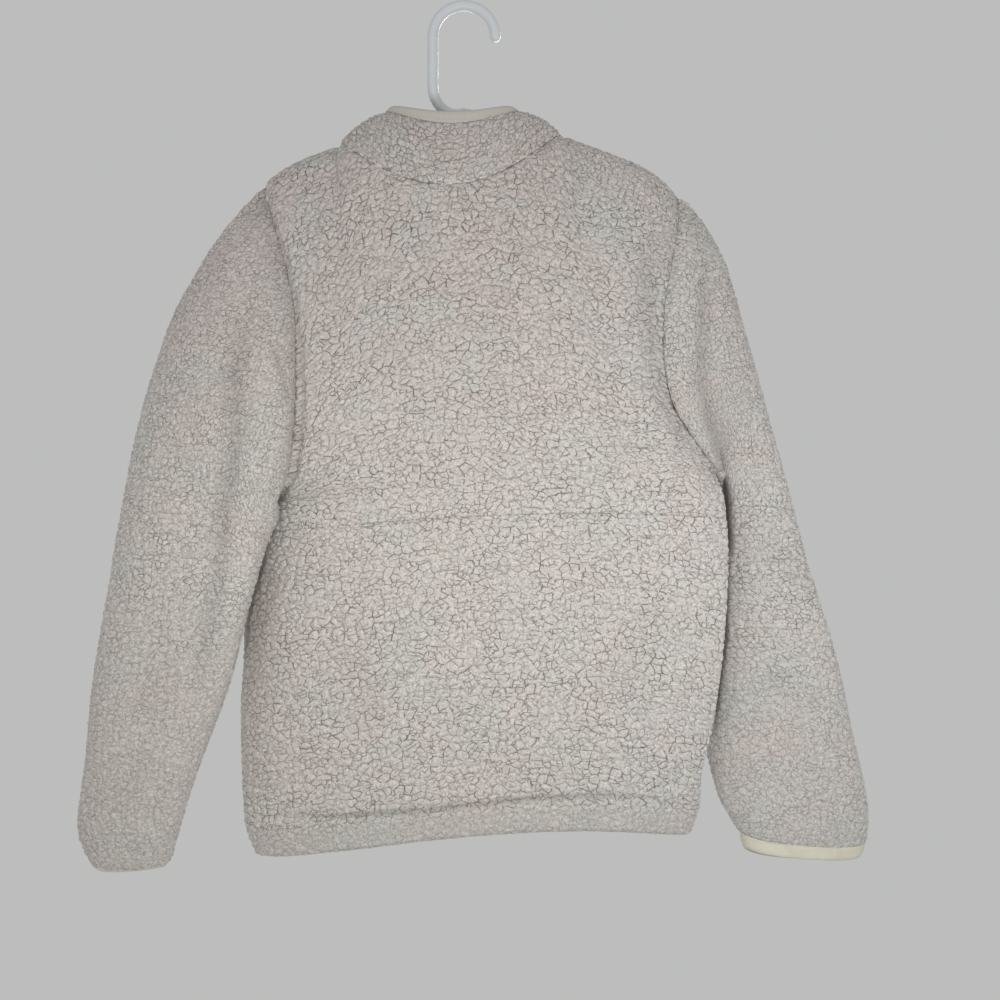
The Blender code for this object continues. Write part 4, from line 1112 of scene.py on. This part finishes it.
def mesh_from(name, points, quads, triangles, smooth=True, flat_triangles=False):
    """A mesh from arrays: points in millimetres, quads and triangles by point number."""
    data = bpy.data.meshes.new(name)
    loops = np.concatenate([np.ravel(quads), np.ravel(triangles)]).astype(np.int32)
    sizes = np.concatenate([np.full(len(quads), 4), np.full(len(triangles), 3)]).astype(np.int32)
    data.vertices.add(len(points))
    data.vertices.foreach_set("co", (np.asarray(points) * MM).astype(np.float32).ravel())
    data.loops.add(len(loops))
    data.loops.foreach_set("vertex_index", loops)
    data.polygons.add(len(sizes))
    starts = np.concatenate([[0], np.cumsum(sizes)[:-1]]).astype(np.int32)
    data.polygons.foreach_set("loop_start", starts)
    data.polygons.foreach_set("loop_total", sizes)
    data.update(calc_edges=True)
    data.validate()
    if smooth:
        flat = np.concatenate([np.zeros(len(quads), bool), np.full(len(triangles), flat_triangles)])
        data.polygons.foreach_set("use_smooth", ~flat)
    made = bpy.data.objects.new(name, data)
    bpy.context.scene.collection.objects.link(made)
    return made


def shell_mesh(name, outer, inner, ring, flip, flat_rims):
    """A closed shell: a fine outer grid, a coarser inner grid and the rims between them."""
    outer_index = np.arange(outer[..., 0].size).reshape(outer.shape[:2])
    inner_index = outer_index.size + np.arange(inner[..., 0].size).reshape(inner.shape[:2])
    if ring:
        outer_index = np.concatenate([outer_index, outer_index[:, :1]], axis=1)
        inner_index = np.concatenate([inner_index, inner_index[:, :1]], axis=1)
    quads = np.concatenate([grid_faces(outer_index, flip), grid_faces(inner_index, not flip)])
    rims = rim_faces(outer_index[0], inner_index[0], flip)
    rims += rim_faces(outer_index[-1], inner_index[-1], not flip)
    if not ring:
        rims += rim_faces(outer_index[:, 0], inner_index[:, 0], not flip)
        rims += rim_faces(outer_index[:, -1], inner_index[:, -1], flip)
    points = np.concatenate([outer.reshape(-1, 3), inner.reshape(-1, 3)])
    return mesh_from(name, points, quads, np.array(rims), flat_triangles=flat_rims)


def set_attribute(data, name, outer, inner):
    """Values or vectors on the outer and the inner points of a shell."""
    kind, field = ("FLOAT_VECTOR", "vector") if np.ndim(outer) == 3 else ("FLOAT", "value")
    values = np.concatenate([np.ravel(outer), np.ravel(inner)]).astype(np.float32)
    data.attributes.new(name, kind, "POINT").data.foreach_set(field, values)


def walls_of(panel, low):
    """The shell's thickness at each distance from the panel's low edge."""
    if "binding" in panel.name:
        return np.full(low.shape, BINDING_WALL)
    if panel.name in ("back_lower", "left_front", "right_front"):
        return np.where(low < SHELL_HEM_REACH, SHELL_HEM_WALL, SHELL_WALL)
    return np.full(low.shape, SHELL_WALL)


def cloth_shell(panel, seams, sums):
    """A panel as a closed thin shell, with what its pile and its material read from it."""
    spacing = SPACINGS[panel.name]
    shared = grid_normals(panel.grid, sums)
    if panel.name in ("right_sleeve", "right_cuff_binding"):
        panel = tipped_cuff(panel)
    if panel.name in HUNG_OVER:
        shared = np.concatenate([shared, shared[-1:]])
        panel = hung_over(panel, HUNG_OVER[panel.name])
    values = fine_grid(panel.grid, panel.ring, spacing, shared)
    blended = np.ones(values.shape[:2])
    if not panel.ring:
        distances = edge_distances(values[..., :3], panel.ring)
        blended = ease(np.minimum(distances["left"], distances["right"]) / SIDE_BLEND)
    values += (smoothed_up(values, spacing) - values) * blended[..., None]
    grid, normals = values[..., :3], unit(values[..., 3:])
    distances = edge_distances(grid, panel.ring)
    raised, sunk, dark, line = panel_relief(panel, seams, grid, normals, distances)
    outer = grid + normals * (raised - panel.inset)[..., None]
    walls = walls_of(panel, distances["low"][INNER_POINTS])
    behind = (walls + panel.inset - sunk[INNER_POINTS])[..., None]
    inner = grid[INNER_POINTS] - normals[INNER_POINTS] * behind
    shell = shell_mesh(panel.name + "_cloth", outer, inner, panel.ring, panel.flip, True)
    neck_gap = line_distance(grid, closed_line(collar_grid()[0]))[0]
    fine = FINE_PILE.get(panel.name, 0.0)
    numbers = {
        # Painted shade of folds, creases and valleys
        "dark": (dark, 0),
        "seam_gap": (np.minimum(line, SEAM_REACH), SEAM_REACH),
        "neck_gap": (np.minimum(neck_gap, SEAM_REACH), SEAM_REACH),
        "pile": (np.ones(line.shape), 0),
        "combed": (combing(panel, grid, distances), 0),
        "fine": (np.full(line.shape, fine), fine),
    }
    for name, (outside, inside) in numbers.items():
        set_attribute(shell.data, name, outside, np.full(walls.shape, inside))
    flat = cloth_places(panel, distances) * MM
    set_attribute(shell.data, "out", normals, np.zeros(inner.shape))
    set_attribute(shell.data, "rest", outer * MM, inner * MM)
    set_attribute(shell.data, "flat", flat, flat[INNER_POINTS])
    return shell


class Nodes:
    """Short calls that add nodes to one tree, a material's or a geometry group's."""

    def __init__(self, tree):
        self.tree = tree

    def add(self, kind, inputs, **settings):
        node = self.tree.nodes.new(kind)
        for name, value in settings.items():
            setattr(node, name, value)
        for name, value in inputs.items():
            if isinstance(value, bpy.types.NodeSocket):
                self.tree.links.new(value, node.inputs[name])
            else:
                node.inputs[name].default_value = value
        return node

    def math(self, operation, *values):
        return self.add("ShaderNodeMath", dict(enumerate(values)), operation=operation).outputs[0]

    def times(self, first, second):
        return self.math("MULTIPLY", first, second)

    def line(self, value, factor, base):
        """The value times a factor, plus a base."""
        return self.math("MULTIPLY_ADD", value, factor, base)

    def vector(self, operation, *values):
        node = self.add("ShaderNodeVectorMath", dict(enumerate(values)), operation=operation)
        return node.outputs[0]

    def scaled(self, vector, factor):
        node = self.add("ShaderNodeVectorMath", {0: vector, "Scale": factor}, operation="SCALE")
        return node.outputs[0]

    def ramp(self, value, low, high, to_low=0.0, to_high=1.0):
        """A smooth step of the value between low and high."""
        span = {"Value": value, "From Min": low, "From Max": high, "To Min": to_low, "To Max": to_high}
        return self.add("ShaderNodeMapRange", span, interpolation_type="SMOOTHSTEP").outputs[0]

    def noise(self, vector, size, detail=2.0, colour=False):
        """Noise whose lumps are about this size in metres."""
        inputs = {"Vector": vector, "Scale": 1 / size, "Detail": detail}
        return self.add("ShaderNodeTexNoise", inputs).outputs["Color" if colour else "Fac"]

    def cells(self, vector, size):
        """Distance from the edges of flat cells of about this size, 0 at an edge."""
        inputs = {"Vector": vector, "Scale": 1 / size}
        settings = {"voronoi_dimensions": "2D", "feature": "DISTANCE_TO_EDGE"}
        return self.add("ShaderNodeTexVoronoi", inputs, **settings).outputs["Distance"]

    def waves(self, vector, axis, scale, distortion, detail=2.0):
        """Bands across one axis; the scale is their radians a metre over twenty."""
        inputs = {"Vector": vector, "Scale": scale, "Distortion": distortion, "Detail": detail}
        return self.add("ShaderNodeTexWave", inputs, bands_direction=axis).outputs["Fac"]

    def mix(self, share, first, second):
        inputs = {0: share, 6: first, 7: second}
        return self.add("ShaderNodeMix", inputs, data_type="RGBA").outputs[2]

    def attribute(self, name, output="Fac"):
        """A mesh attribute in a material."""
        return self.add("ShaderNodeAttribute", {}, attribute_name=name).outputs[output]

    def named(self, name, kind="FLOAT"):
        """A mesh attribute in a geometry group."""
        return self.add("GeometryNodeInputNamedAttribute", {"Name": name}, data_type=kind).outputs[0]

    def place(self):
        return self.add("ShaderNodeTexCoord", {}).outputs["Object"]

    def into(self, shader, name, value):
        self.tree.links.new(value, shader.inputs[name])

    def bump(self, shader, height, strength, distance):
        """Relief finer than the mesh, its full height in metres."""
        inputs = {"Height": height, "Strength": strength, "Distance": distance}
        self.into(shader, "Normal", self.add("ShaderNodeBump", inputs).outputs[0])


def pile_pattern(nodes, flat, combed, fine):
    """Sockets for the pile: height of clumps and curls, 0 to 1, and how much shade is painted in the
    cracks.
    """
    moved = flat
    for size, reach in ((PILE_DRIFT_SIZE, PILE_DRIFT), (CRACK_DRIFT_SIZE, CRACK_DRIFT)):
        drift = nodes.noise(flat, size, 1.0, colour=True)
        drift = nodes.scaled(nodes.vector("SUBTRACT", drift, (0.5, 0.5, 0.5)), reach)
        moved = nodes.vector("ADD", moved, drift)
    moved = nodes.vector("MULTIPLY", moved, CLUMP_SQUASH)
    clump = nodes.cells(moved, CLUMP_SIZE)
    curl = nodes.cells(nodes.vector("ADD", moved, (0.31, 0.17, 0.0)), CURL_SIZE)
    patch = nodes.ramp(nodes.noise(flat, PATCH_SIZE, 2.0), 0.36, 0.60)
    small = nodes.noise(nodes.vector("ADD", flat, (0.7, 0.2, 0.4)), SMALL_PATCH_SIZE, 1.0)
    small = nodes.math("MAXIMUM", nodes.ramp(small, 0.47, 0.55), fine)
    broken = nodes.ramp(nodes.noise(flat, CRACK_LENGTH, 1.0), 0.33, 0.50)
    shown = nodes.times(broken, nodes.line(patch, 0.40, 0.66))
    clump_crack = nodes.ramp(clump, 0.01, CLUMP_CRACK, 1.0, 0.0)
    clump_crack = nodes.times(clump_crack, nodes.line(small, -0.85, 1.0))
    curl_crack = nodes.ramp(curl, 0.01, CURL_CRACK, 1.0, 0.0)
    curl_crack = nodes.times(curl_crack, nodes.line(small, 0.80, 0.10))
    crack = nodes.times(nodes.math("MAXIMUM", clump_crack, curl_crack), shown)
    crack = nodes.math("MAXIMUM", crack, row_cracks(nodes, flat, moved))
    crack = nodes.times(crack, nodes.line(combed, -0.72, 1.0))
    clump_dome = nodes.math("POWER", nodes.ramp(clump, 0.0, 0.34), DOME_POWER)
    curl_dome = nodes.math("POWER", nodes.ramp(curl, 0.0, 0.36), DOME_POWER)
    return clump_dome, curl_dome, crack


def row_cracks(nodes, flat, moved):
    """Painted shade in cracks that run level for a few clumps, where rows of the knitted backing open.
    """
    up = nodes.add("ShaderNodeSeparateXYZ", {0: moved}).outputs[1]
    wander = nodes.noise(nodes.vector("MULTIPLY", flat, ROW_STRETCH), ROW_WANDER_SIZE, 1.0)
    level = nodes.line(wander, ROW_WANDER, nodes.math("DIVIDE", up, CLUMP_SQUASH[1]))
    share = nodes.math("FRACT", nodes.math("DIVIDE", level, ROW_HEIGHT))
    gap = nodes.math("ABSOLUTE", nodes.math("SUBTRACT", share, 0.5))
    stretched = nodes.vector("MULTIPLY", nodes.vector("ADD", flat, (0.2, 0.5, 0.9)), ROW_STRETCH)
    shown = nodes.ramp(nodes.noise(stretched, CRACK_LENGTH, 1.0), 0.52, 0.62)
    return nodes.times(nodes.times(nodes.ramp(gap, 0.0, 0.055, 1.0, 0.0), shown), ROW_DARK)


def pile_group():
    """A geometry group that raises the pile on the outer side of a shell."""
    tree = bpy.data.node_groups.new("pile", "GeometryNodeTree")
    tree.interface.new_socket("Geometry", in_out="INPUT", socket_type="NodeSocketGeometry")
    tree.interface.new_socket("Geometry", in_out="OUTPUT", socket_type="NodeSocketGeometry")
    nodes = Nodes(tree)
    shell = tree.nodes.new("NodeGroupInput").outputs[0]
    flat = nodes.named("flat", "FLOAT_VECTOR")
    clump, curl, _ = pile_pattern(nodes, flat, nodes.named("combed"), nodes.named("fine"))
    fuzz = nodes.math("SUBTRACT", nodes.noise(flat, FUZZ_SIZE, 3.0), 0.5)
    height = nodes.times(nodes.math("SUBTRACT", clump, PILE_LEVEL), CLUMP_HEIGHT)
    height = nodes.line(nodes.math("SUBTRACT", curl, PILE_LEVEL), CURL_HEIGHT, height)
    height = nodes.line(fuzz, 2 * FUZZ_HEIGHT, height)
    height = nodes.times(height, nodes.named("pile"))
    offset = nodes.scaled(nodes.named("out", "FLOAT_VECTOR"), height)
    raised = nodes.add("GeometryNodeSetPosition", {"Geometry": shell, "Offset": offset})
    tree.links.new(raised.outputs[0], tree.nodes.new("NodeGroupOutput").inputs[0])
    return tree


def raise_pile(shell, group):
    """Applies the pile to a shell's mesh."""
    modifier = shell.modifiers.new("pile", "NODES")
    modifier.node_group = group
    evaluated = shell.evaluated_get(bpy.context.evaluated_depsgraph_get())
    raised = bpy.data.meshes.new_from_object(evaluated)
    shell.modifiers.clear()
    shell.data = raised


def new_material(name, roughness):
    made = bpy.data.materials.new(name)
    made.use_nodes = True
    shader = made.node_tree.nodes["Principled BSDF"]
    shader.inputs["Roughness"].default_value = roughness
    return made, Nodes(made.node_tree), shader


def patchy_material(name, roughness, size, detail, tints):
    """A material that drifts between two tints in patches of this size."""
    made, nodes, shader = new_material(name, roughness)
    nodes.into(shader, "Base Color", nodes.mix(nodes.noise(nodes.place(), size, detail), *tints))
    return made, nodes, shader


def fleece_material():
    """Sherpa pile: tinted patches, curly grain, a soft sheen, a painted highlight on the clumps, and
    painted shade in the cracks, in folds, along seams and towards the top.
    """
    made, nodes, shader = new_material("sherpa_fleece", 0.95)
    rest = nodes.attribute("rest", "Vector")
    flat = nodes.attribute("flat", "Vector")
    combed = nodes.attribute("combed")
    clump, curl, crack = pile_pattern(nodes, flat, combed, nodes.attribute("fine"))
    place = nodes.add("ShaderNodeSeparateXYZ", {0: rest})
    # Pinker towards the top, and painted darker there as shade.
    up = nodes.line(nodes.noise(rest, 0.06, 2.0), 0.25, place.outputs[2])
    tint = nodes.mix(nodes.ramp(up, -0.12, -0.30), FLEECE_PINK_SHADED, FLEECE_CREAM)
    right = nodes.line(nodes.noise(rest, 0.09, 2.0), 0.35, place.outputs[0])
    tint = nodes.mix(nodes.ramp(right, 0.16, 0.46), tint, FLEECE_GREY)
    hue = nodes.noise(nodes.vector("ADD", rest, (0.4, 0.1, 0.7)), HUE_SIZE, 2.0)
    tint = nodes.mix(nodes.ramp(hue, 0.50, 0.66, 0.0, 0.60), tint, FLEECE_COOL)
    tint = nodes.mix(nodes.ramp(hue, 0.50, 0.34, 0.0, 0.55), tint, FLEECE_ROSE)
    grain = nodes.noise(rest, GRAIN_SIZE, 3.0)
    lie = nodes.noise(nodes.vector("MULTIPLY", flat, COMB_STRETCH), LIE_SIZE, 2.0)
    shade = nodes.line(nodes.ramp(grain, 0.32, 0.68), 0.36, 0.78)
    # A painted highlight on the clumps' domes; grain, lie and combing vary the pile's own tone.
    for part, factor, base in ((lie, 0.40, 0.82), (clump, 0.05, 0.975), (combed, -0.10, 1.0)):
        shade = nodes.times(shade, nodes.line(part, factor, base))
    # Painted shade in the cracks between the clumps.
    colour = nodes.mix(nodes.times(crack, CRACK_DARK), nodes.scaled(tint, shade), PAINTED_SHADE_TINT)
    # Painted shade in the bottoms of folds, creases and valleys.
    colour = nodes.mix(nodes.attribute("dark"), colour, FOLD_SHADE_TINT)
    # A thin, wandering line of painted shade along the seams.
    wander = nodes.math("SUBTRACT", nodes.noise(rest, 0.006, 2.0), 0.45)
    gap = nodes.line(wander, SEAM_LINE_WANDER, nodes.attribute("seam_gap"))
    colour = nodes.mix(nodes.ramp(gap, 0.3, SEAM_LINE, 0.75, 0.0), colour, PAINTED_SHADE_TINT)
    beside = nodes.math("ABSOLUTE", nodes.math("SUBTRACT", nodes.attribute("neck_gap"), 1.0))
    glints = nodes.noise(nodes.vector("MULTIPLY", rest, (1.0, 1.0, 3.0)), GLINT_SIZE, 1.0)
    thread = nodes.times(nodes.ramp(beside, 0.4, 0.9, 0.9, 0.0), nodes.ramp(glints, 0.56, 0.62))
    nodes.into(shader, "Base Color", nodes.mix(thread, colour, THREAD_TINT))
    height = nodes.line(curl, 0.35, nodes.times(grain, 0.9))
    height = nodes.line(lie, 0.5, height)
    height = nodes.math("SUBTRACT", height, nodes.times(crack, 0.6))
    nodes.bump(shader, height, 0.6, 0.0012)
    shader.inputs["Sheen Weight"].default_value = 0.35
    shader.inputs["Sheen Roughness"].default_value = 0.55
    return made


def binding_material():
    """Ribbed elastic binding, greyer at the collar."""
    made, nodes, shader = new_material("elastic_binding", 0.78)
    rest = nodes.attribute("rest", "Vector")
    ribs = nodes.waves(rest, "Z", 260.0, 0.6, 1.0)
    weave = nodes.noise(rest, 0.0011, 2.0)
    soil = nodes.ramp(nodes.noise(rest, 0.018, 3.0), 0.35, 0.7)
    up = nodes.add("ShaderNodeSeparateXYZ", {0: rest}).outputs[2]
    colour = nodes.mix(nodes.ramp(up, -0.30, -0.20), nodes.mix(soil, *BINDING_TINTS), COLLAR_TINT)
    shade = nodes.line(ribs, 0.10, nodes.line(weave, 0.16, 0.82))
    nodes.into(shader, "Base Color", nodes.scaled(colour, shade))
    nodes.bump(shader, nodes.line(ribs, 0.6, nodes.times(weave, 0.5)), 0.5, 0.0004)
    shader.inputs["Sheen Weight"].default_value = 0.15
    return made


def tape_material():
    """Herringbone woven zip tape."""
    made, nodes, shader = new_material("zip_tape", 0.8)
    place = nodes.place()
    threads = nodes.waves(place, "X", 330.0, 0.4)
    picks = nodes.waves(place, "Z", 420.0, 0.8)
    weave = nodes.times(threads, picks)
    tint = nodes.mix(nodes.noise(place, 0.02, 2.0), *TAPE_TINTS)
    nodes.into(shader, "Base Color", nodes.scaled(tint, nodes.line(weave, 0.25, 0.78)))
    nodes.bump(shader, weave, 0.4, 0.0003)
    return made


def metal_material():
    """Satin zinc, rubbed brighter in places."""
    made, nodes, shader = new_material("zip_metal", 0.35)
    rub = nodes.noise(nodes.place(), 0.004, 4.0)
    nodes.into(shader, "Roughness", nodes.ramp(rub, 0.3, 0.75, 0.24, 0.5))
    nodes.into(shader, "Base Color", nodes.mix(nodes.ramp(rub, 0.35, 0.7), *METAL_TINTS))
    shader.inputs["Metallic"].default_value = 1.0
    return made


def hanger_material():
    """White plastic with a faint haze of scuffs."""
    made, nodes, shader = patchy_material("hanger_plastic", 0.34, 0.05, 2.0, HANGER_TINTS)
    place = nodes.place()
    scuff = nodes.noise(place, 0.012, 5.0)
    nodes.into(shader, "Roughness", nodes.ramp(scuff, 0.35, 0.75, 0.26, 0.46))
    nodes.bump(shader, nodes.noise(place, 0.006, 3.0), 0.06, 0.001)
    return made


def tube_along(path, radii):
    """Rings of points of a round tube whose path lies in the plane y = 0."""
    path = np.array(path, float)
    along = unit(np.gradient(path, axis=0))
    radii = radii[:, None]
    turns = np.linspace(0, 2 * math.pi, HANGER_SIDES, endpoint=False)
    x = path[:, :1] - along[:, 1:] * np.cos(turns) * radii
    z = path[:, 1:] + along[:, :1] * np.cos(turns) * radii
    return np.stack([x, np.sin(turns) * radii, z], axis=-1)


def tube_quads(rows, first, closed):
    index = first + np.arange(rows * HANGER_SIDES).reshape(rows, HANGER_SIDES)
    index = np.concatenate([index, index[:, :1]], axis=1)
    return grid_faces(closed_line(index) if closed else index, True)


def smooth_path(points, closed):
    points = np.array(points, float)
    if closed:
        points = closed_line(points)
    lengths = lengths_along(points)
    shares = np.linspace(0, 1, round(lengths[-1] / HANGER_STEP) + 1)
    path = curve_through(points, lengths, shares * lengths[-1])
    return path[:-1] if closed else path


def hanger_piece():
    """The tube hanger: a closed loop of arms and bar, and the hook with its rounded tip."""
    half = hanger_half()
    loop_path = smooth_path(half + [(-x, z) for x, z in reversed(half[1:-1])], True)
    closing = np.concatenate([loop_path[-1:], loop_path, loop_path[:1]])
    loop_points = tube_along(closing, np.full(len(closing), TUBE_RADIUS))[1:-1]
    hook = arc((0, TUBE_RADIUS - HOOK_RADIUS), HOOK_RADIUS, 0, math.pi, 18)
    stem = [(-HOOK_RADIUS, z) for z in STEM_Z]
    hook_path = smooth_path(hook + stem + list(HOOK_FOOT), False)
    ahead = unit(hook_path[0] - hook_path[1])
    cap = [hook_path[0] + ahead * TUBE_RADIUS * math.sin(angle) for angle in TIP_ANGLES]
    hook_path = np.concatenate([cap, hook_path])
    radii = np.full(len(hook_path), TUBE_RADIUS)
    radii[: len(TIP_ANGLES)] = TUBE_RADIUS * np.cos(TIP_ANGLES)
    hook_points = tube_along(hook_path, radii)
    points = np.concatenate([loop_points.reshape(-1, 3), hook_points.reshape(-1, 3)])
    loop_quads = tube_quads(len(loop_points), 0, True)
    hook_quads = tube_quads(len(hook_points), len(loop_points) * HANGER_SIDES, False)
    quads = np.concatenate([loop_quads, hook_quads])
    return mesh_from("hanger_tube", points, quads, np.empty((0, 3), int))


def rounded_block(low, high, bevel):
    """Points and faces of a block with bevelled edges."""
    mesh = bmesh.new()
    bmesh.ops.create_cube(mesh, size=1)
    for vert in mesh.verts:
        for axis in range(3):
            vert.co[axis] = high[axis] if vert.co[axis] > 0 else low[axis]
    bmesh.ops.bevel(mesh, geom=mesh.edges, offset=bevel, segments=2, profile=0.5, affect="EDGES")
    bmesh.ops.triangulate(mesh, faces=mesh.faces)
    mesh.verts.ensure_lookup_table()
    points = np.array([vert.co[:] for vert in mesh.verts])
    faces = np.array([[vert.index for vert in face.verts] for face in mesh.faces])
    mesh.free()
    return points, faces


def frames_on(line, normals, places, ahead):
    """Frames at places along a line: an origin, then across, along and out of the cloth."""
    both = np.concatenate([line, normals], axis=1)
    lengths = lengths_along(line)
    read = curve_through(both, lengths, places)
    frames = []
    for here, there in zip(read, curve_through(both, lengths, places + ahead)):
        along = unit(there[:3] - here[:3])
        out = unit(here[3:] - along * (here[3:] @ along))
        frames.append((here[:3], np.array([np.cross(along, out), along, out])))
    return frames


def copies(name, points, faces, frames):
    """One mesh of a shape copied to many frames."""
    places, triangles = [], []
    for origin, axes in frames:
        triangles.append(faces + len(points) * len(places))
        places.append(origin + points @ axes)
    return mesh_from(name, np.concatenate(places), np.empty((0, 4), int), np.concatenate(triangles))


def zip_teeth(name, side, shift, opening):
    """A row of moulded teeth up the zip's middle, reaching in from one side."""
    points, normals, walls = opening
    outward = unit(normals[:, 2])
    middle = points[:, 2] - outward * (walls + SEAM_GAP + TAPE_WALL / 2)[:, None]
    places = np.arange(shift, lengths_along(middle)[-1] - TEETH_BELOW_SLIDER, TOOTH_PITCH)
    near, far = sorted((-side * TOOTH_PAST_MIDDLE, side * TOOTH_REACH))
    low = (near, -TOOTH_LENGTH / 2, -TOOTH_HALF_HEIGHT)
    high = (far, TOOTH_LENGTH / 2, TOOTH_HALF_HEIGHT)
    return copies(name, *rounded_block(low, high, TOOTH_BEVEL), frames_on(middle, outward, places, 0.5))


def zip_tape(name, opening, side):
    """One tape of the zip as a woven strip with a corded edge beside the teeth."""
    points, normals, walls = opening
    columns = []
    for distance in TAPE_COLUMNS:
        place, normal = at_distance(points, normals, side * distance)
        columns.append(place - unit(normal) * (walls + SEAM_GAP)[:, None])
    grid = fine_grid(np.stack(columns[::side], axis=1), False, TAPE_SPACING)
    inner = grid[INNER_POINTS] - own_normals(grid, False, True)[INNER_POINTS] * TAPE_WALL
    return shell_mesh(name, grid, inner, False, True, False)


def binding_stitches(panel):
    """Thread stitches just inside a binding's seamed edge, each a short rod on the cloth."""
    grid = fine_grid(panel.grid, panel.ring, SPACINGS[panel.name])
    row = len(grid) // STITCH_ROW
    normals = own_normals(grid, panel.ring, panel.flip)[row]
    line = grid[row] + normals * (STITCH_LIFT - panel.inset)
    if panel.ring:
        line, normals = closed_line(line), closed_line(normals)
    high = np.array([STITCH_RADIUS, STITCH_LENGTH / 2, STITCH_RADIUS])
    points, faces = rounded_block(-high, high, STITCH_RADIUS * 0.7)
    end = lengths_along(line)[-1] - STITCH_GAP
    places = np.arange(STITCH_GAP, end, STITCH_LENGTH + STITCH_GAP)
    return copies(panel.name + "_stitches", points, faces, frames_on(line, normals, places, 0.4))


def dress(piece, body, material, replaces=()):
    piece.data.materials.clear()
    piece.data.materials.append(material)
    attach(piece, body)
    if replaces:
        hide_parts(*replaces)


def add_camera():
    """At the photo's distance and height, square to the jacket's back."""
    data = bpy.data.cameras.new("camera")
    data.sensor_width = SENSOR_WIDTH
    data.lens = LENS
    camera = bpy.data.objects.new("camera", data)
    camera.location = CAMERA_PLACE
    camera.rotation_euler = (math.radians(90), 0, 0)
    bpy.context.scene.collection.objects.link(camera)
    bpy.context.scene.camera = camera


def add_light(row):
    data = bpy.data.lights.new(row.name, "AREA")
    data.shape = "RECTANGLE"
    data.size, data.size_y = row.sizes
    data.energy = row.power
    data.color = row.colour
    light = bpy.data.objects.new(row.name, data)
    light.location = row.place
    aim = Vector(row.target) - Vector(row.place)
    light.rotation_euler = aim.to_track_quat("-Z", "Y").to_euler()
    light.visible_camera = False
    bpy.context.scene.collection.objects.link(light)


def add_studio():
    """A pale floor, a pale surround and soft lights all round."""
    world = bpy.data.worlds.new("studio")
    world.use_nodes = True
    background = world.node_tree.nodes["Background"]
    background.inputs["Color"].default_value = SURROUND_TINT
    background.inputs["Strength"].default_value = SURROUND_STRENGTH
    bpy.context.scene.world = world
    bpy.context.scene.view_settings.view_transform = "Standard"
    for row in LIGHTS:
        add_light(row)
    reach = FLOOR_REACH
    corners = [(-reach, -reach), (reach, -reach), (reach, reach), (-reach, reach)]
    points = [(x, y, FLOOR_Z) for x, y in corners]
    quads = np.array([[0, 1, 2, 3]])
    floor = mesh_from("floor", points, quads, np.empty((0, 3), int), smooth=False)
    floor.data.materials.append(patchy_material("floor", 0.7, 0.6, 2.0, FLOOR_TINTS)[0])


def main():
    add_camera()
    add_studio()
    panels = jacket_panels()
    sums = surface_normals(panels)
    seams = jacket_seams()
    pile = pile_group()
    fleece = fleece_material()
    binding = binding_material()
    thread = patchy_material("thread", 0.6, 0.0006, 1.0, STITCH_TINTS)[0]
    for panel in panels:
        shell = cloth_shell(panel, seams, sums)
        if "binding" in panel.name:
            dress(shell, "jacket", binding, [panel.name])
            dress(binding_stitches(panel), "jacket", thread)
        else:
            raise_pile(shell, pile)
            dress(shell, "jacket", fleece, [panel.name])
    opening = zip_rows(panels, sums)
    tape = tape_material()
    for name, side in (("left_zip_tape", -1), ("right_zip_tape", 1)):
        strip = zip_tape(name + "_cloth", opening, side)
        dress(strip, "jacket", tape, [name])
    teeth = patchy_material("zip_teeth", 0.42, 0.01, 3.0, TEETH_TINTS)[0]
    toothed = cut_below_top(opening, CHAIN_BELOW_TOP)
    for name, side, shift in (("teeth_left", -1, 0), ("teeth_right", 1, TOOTH_PITCH / 2)):
        row = zip_teeth(name, side, TOOTH_START + shift, toothed)
        dress(row, "jacket", teeth, ["zip_chain"])
    metal = metal_material()
    for name in ("zip_slider", "zip_pull"):
        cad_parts[name].data.materials.clear()
        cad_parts[name].data.materials.append(metal)
    dress(hanger_piece(), "jacket", hanger_material(), ["hanger"])


main()
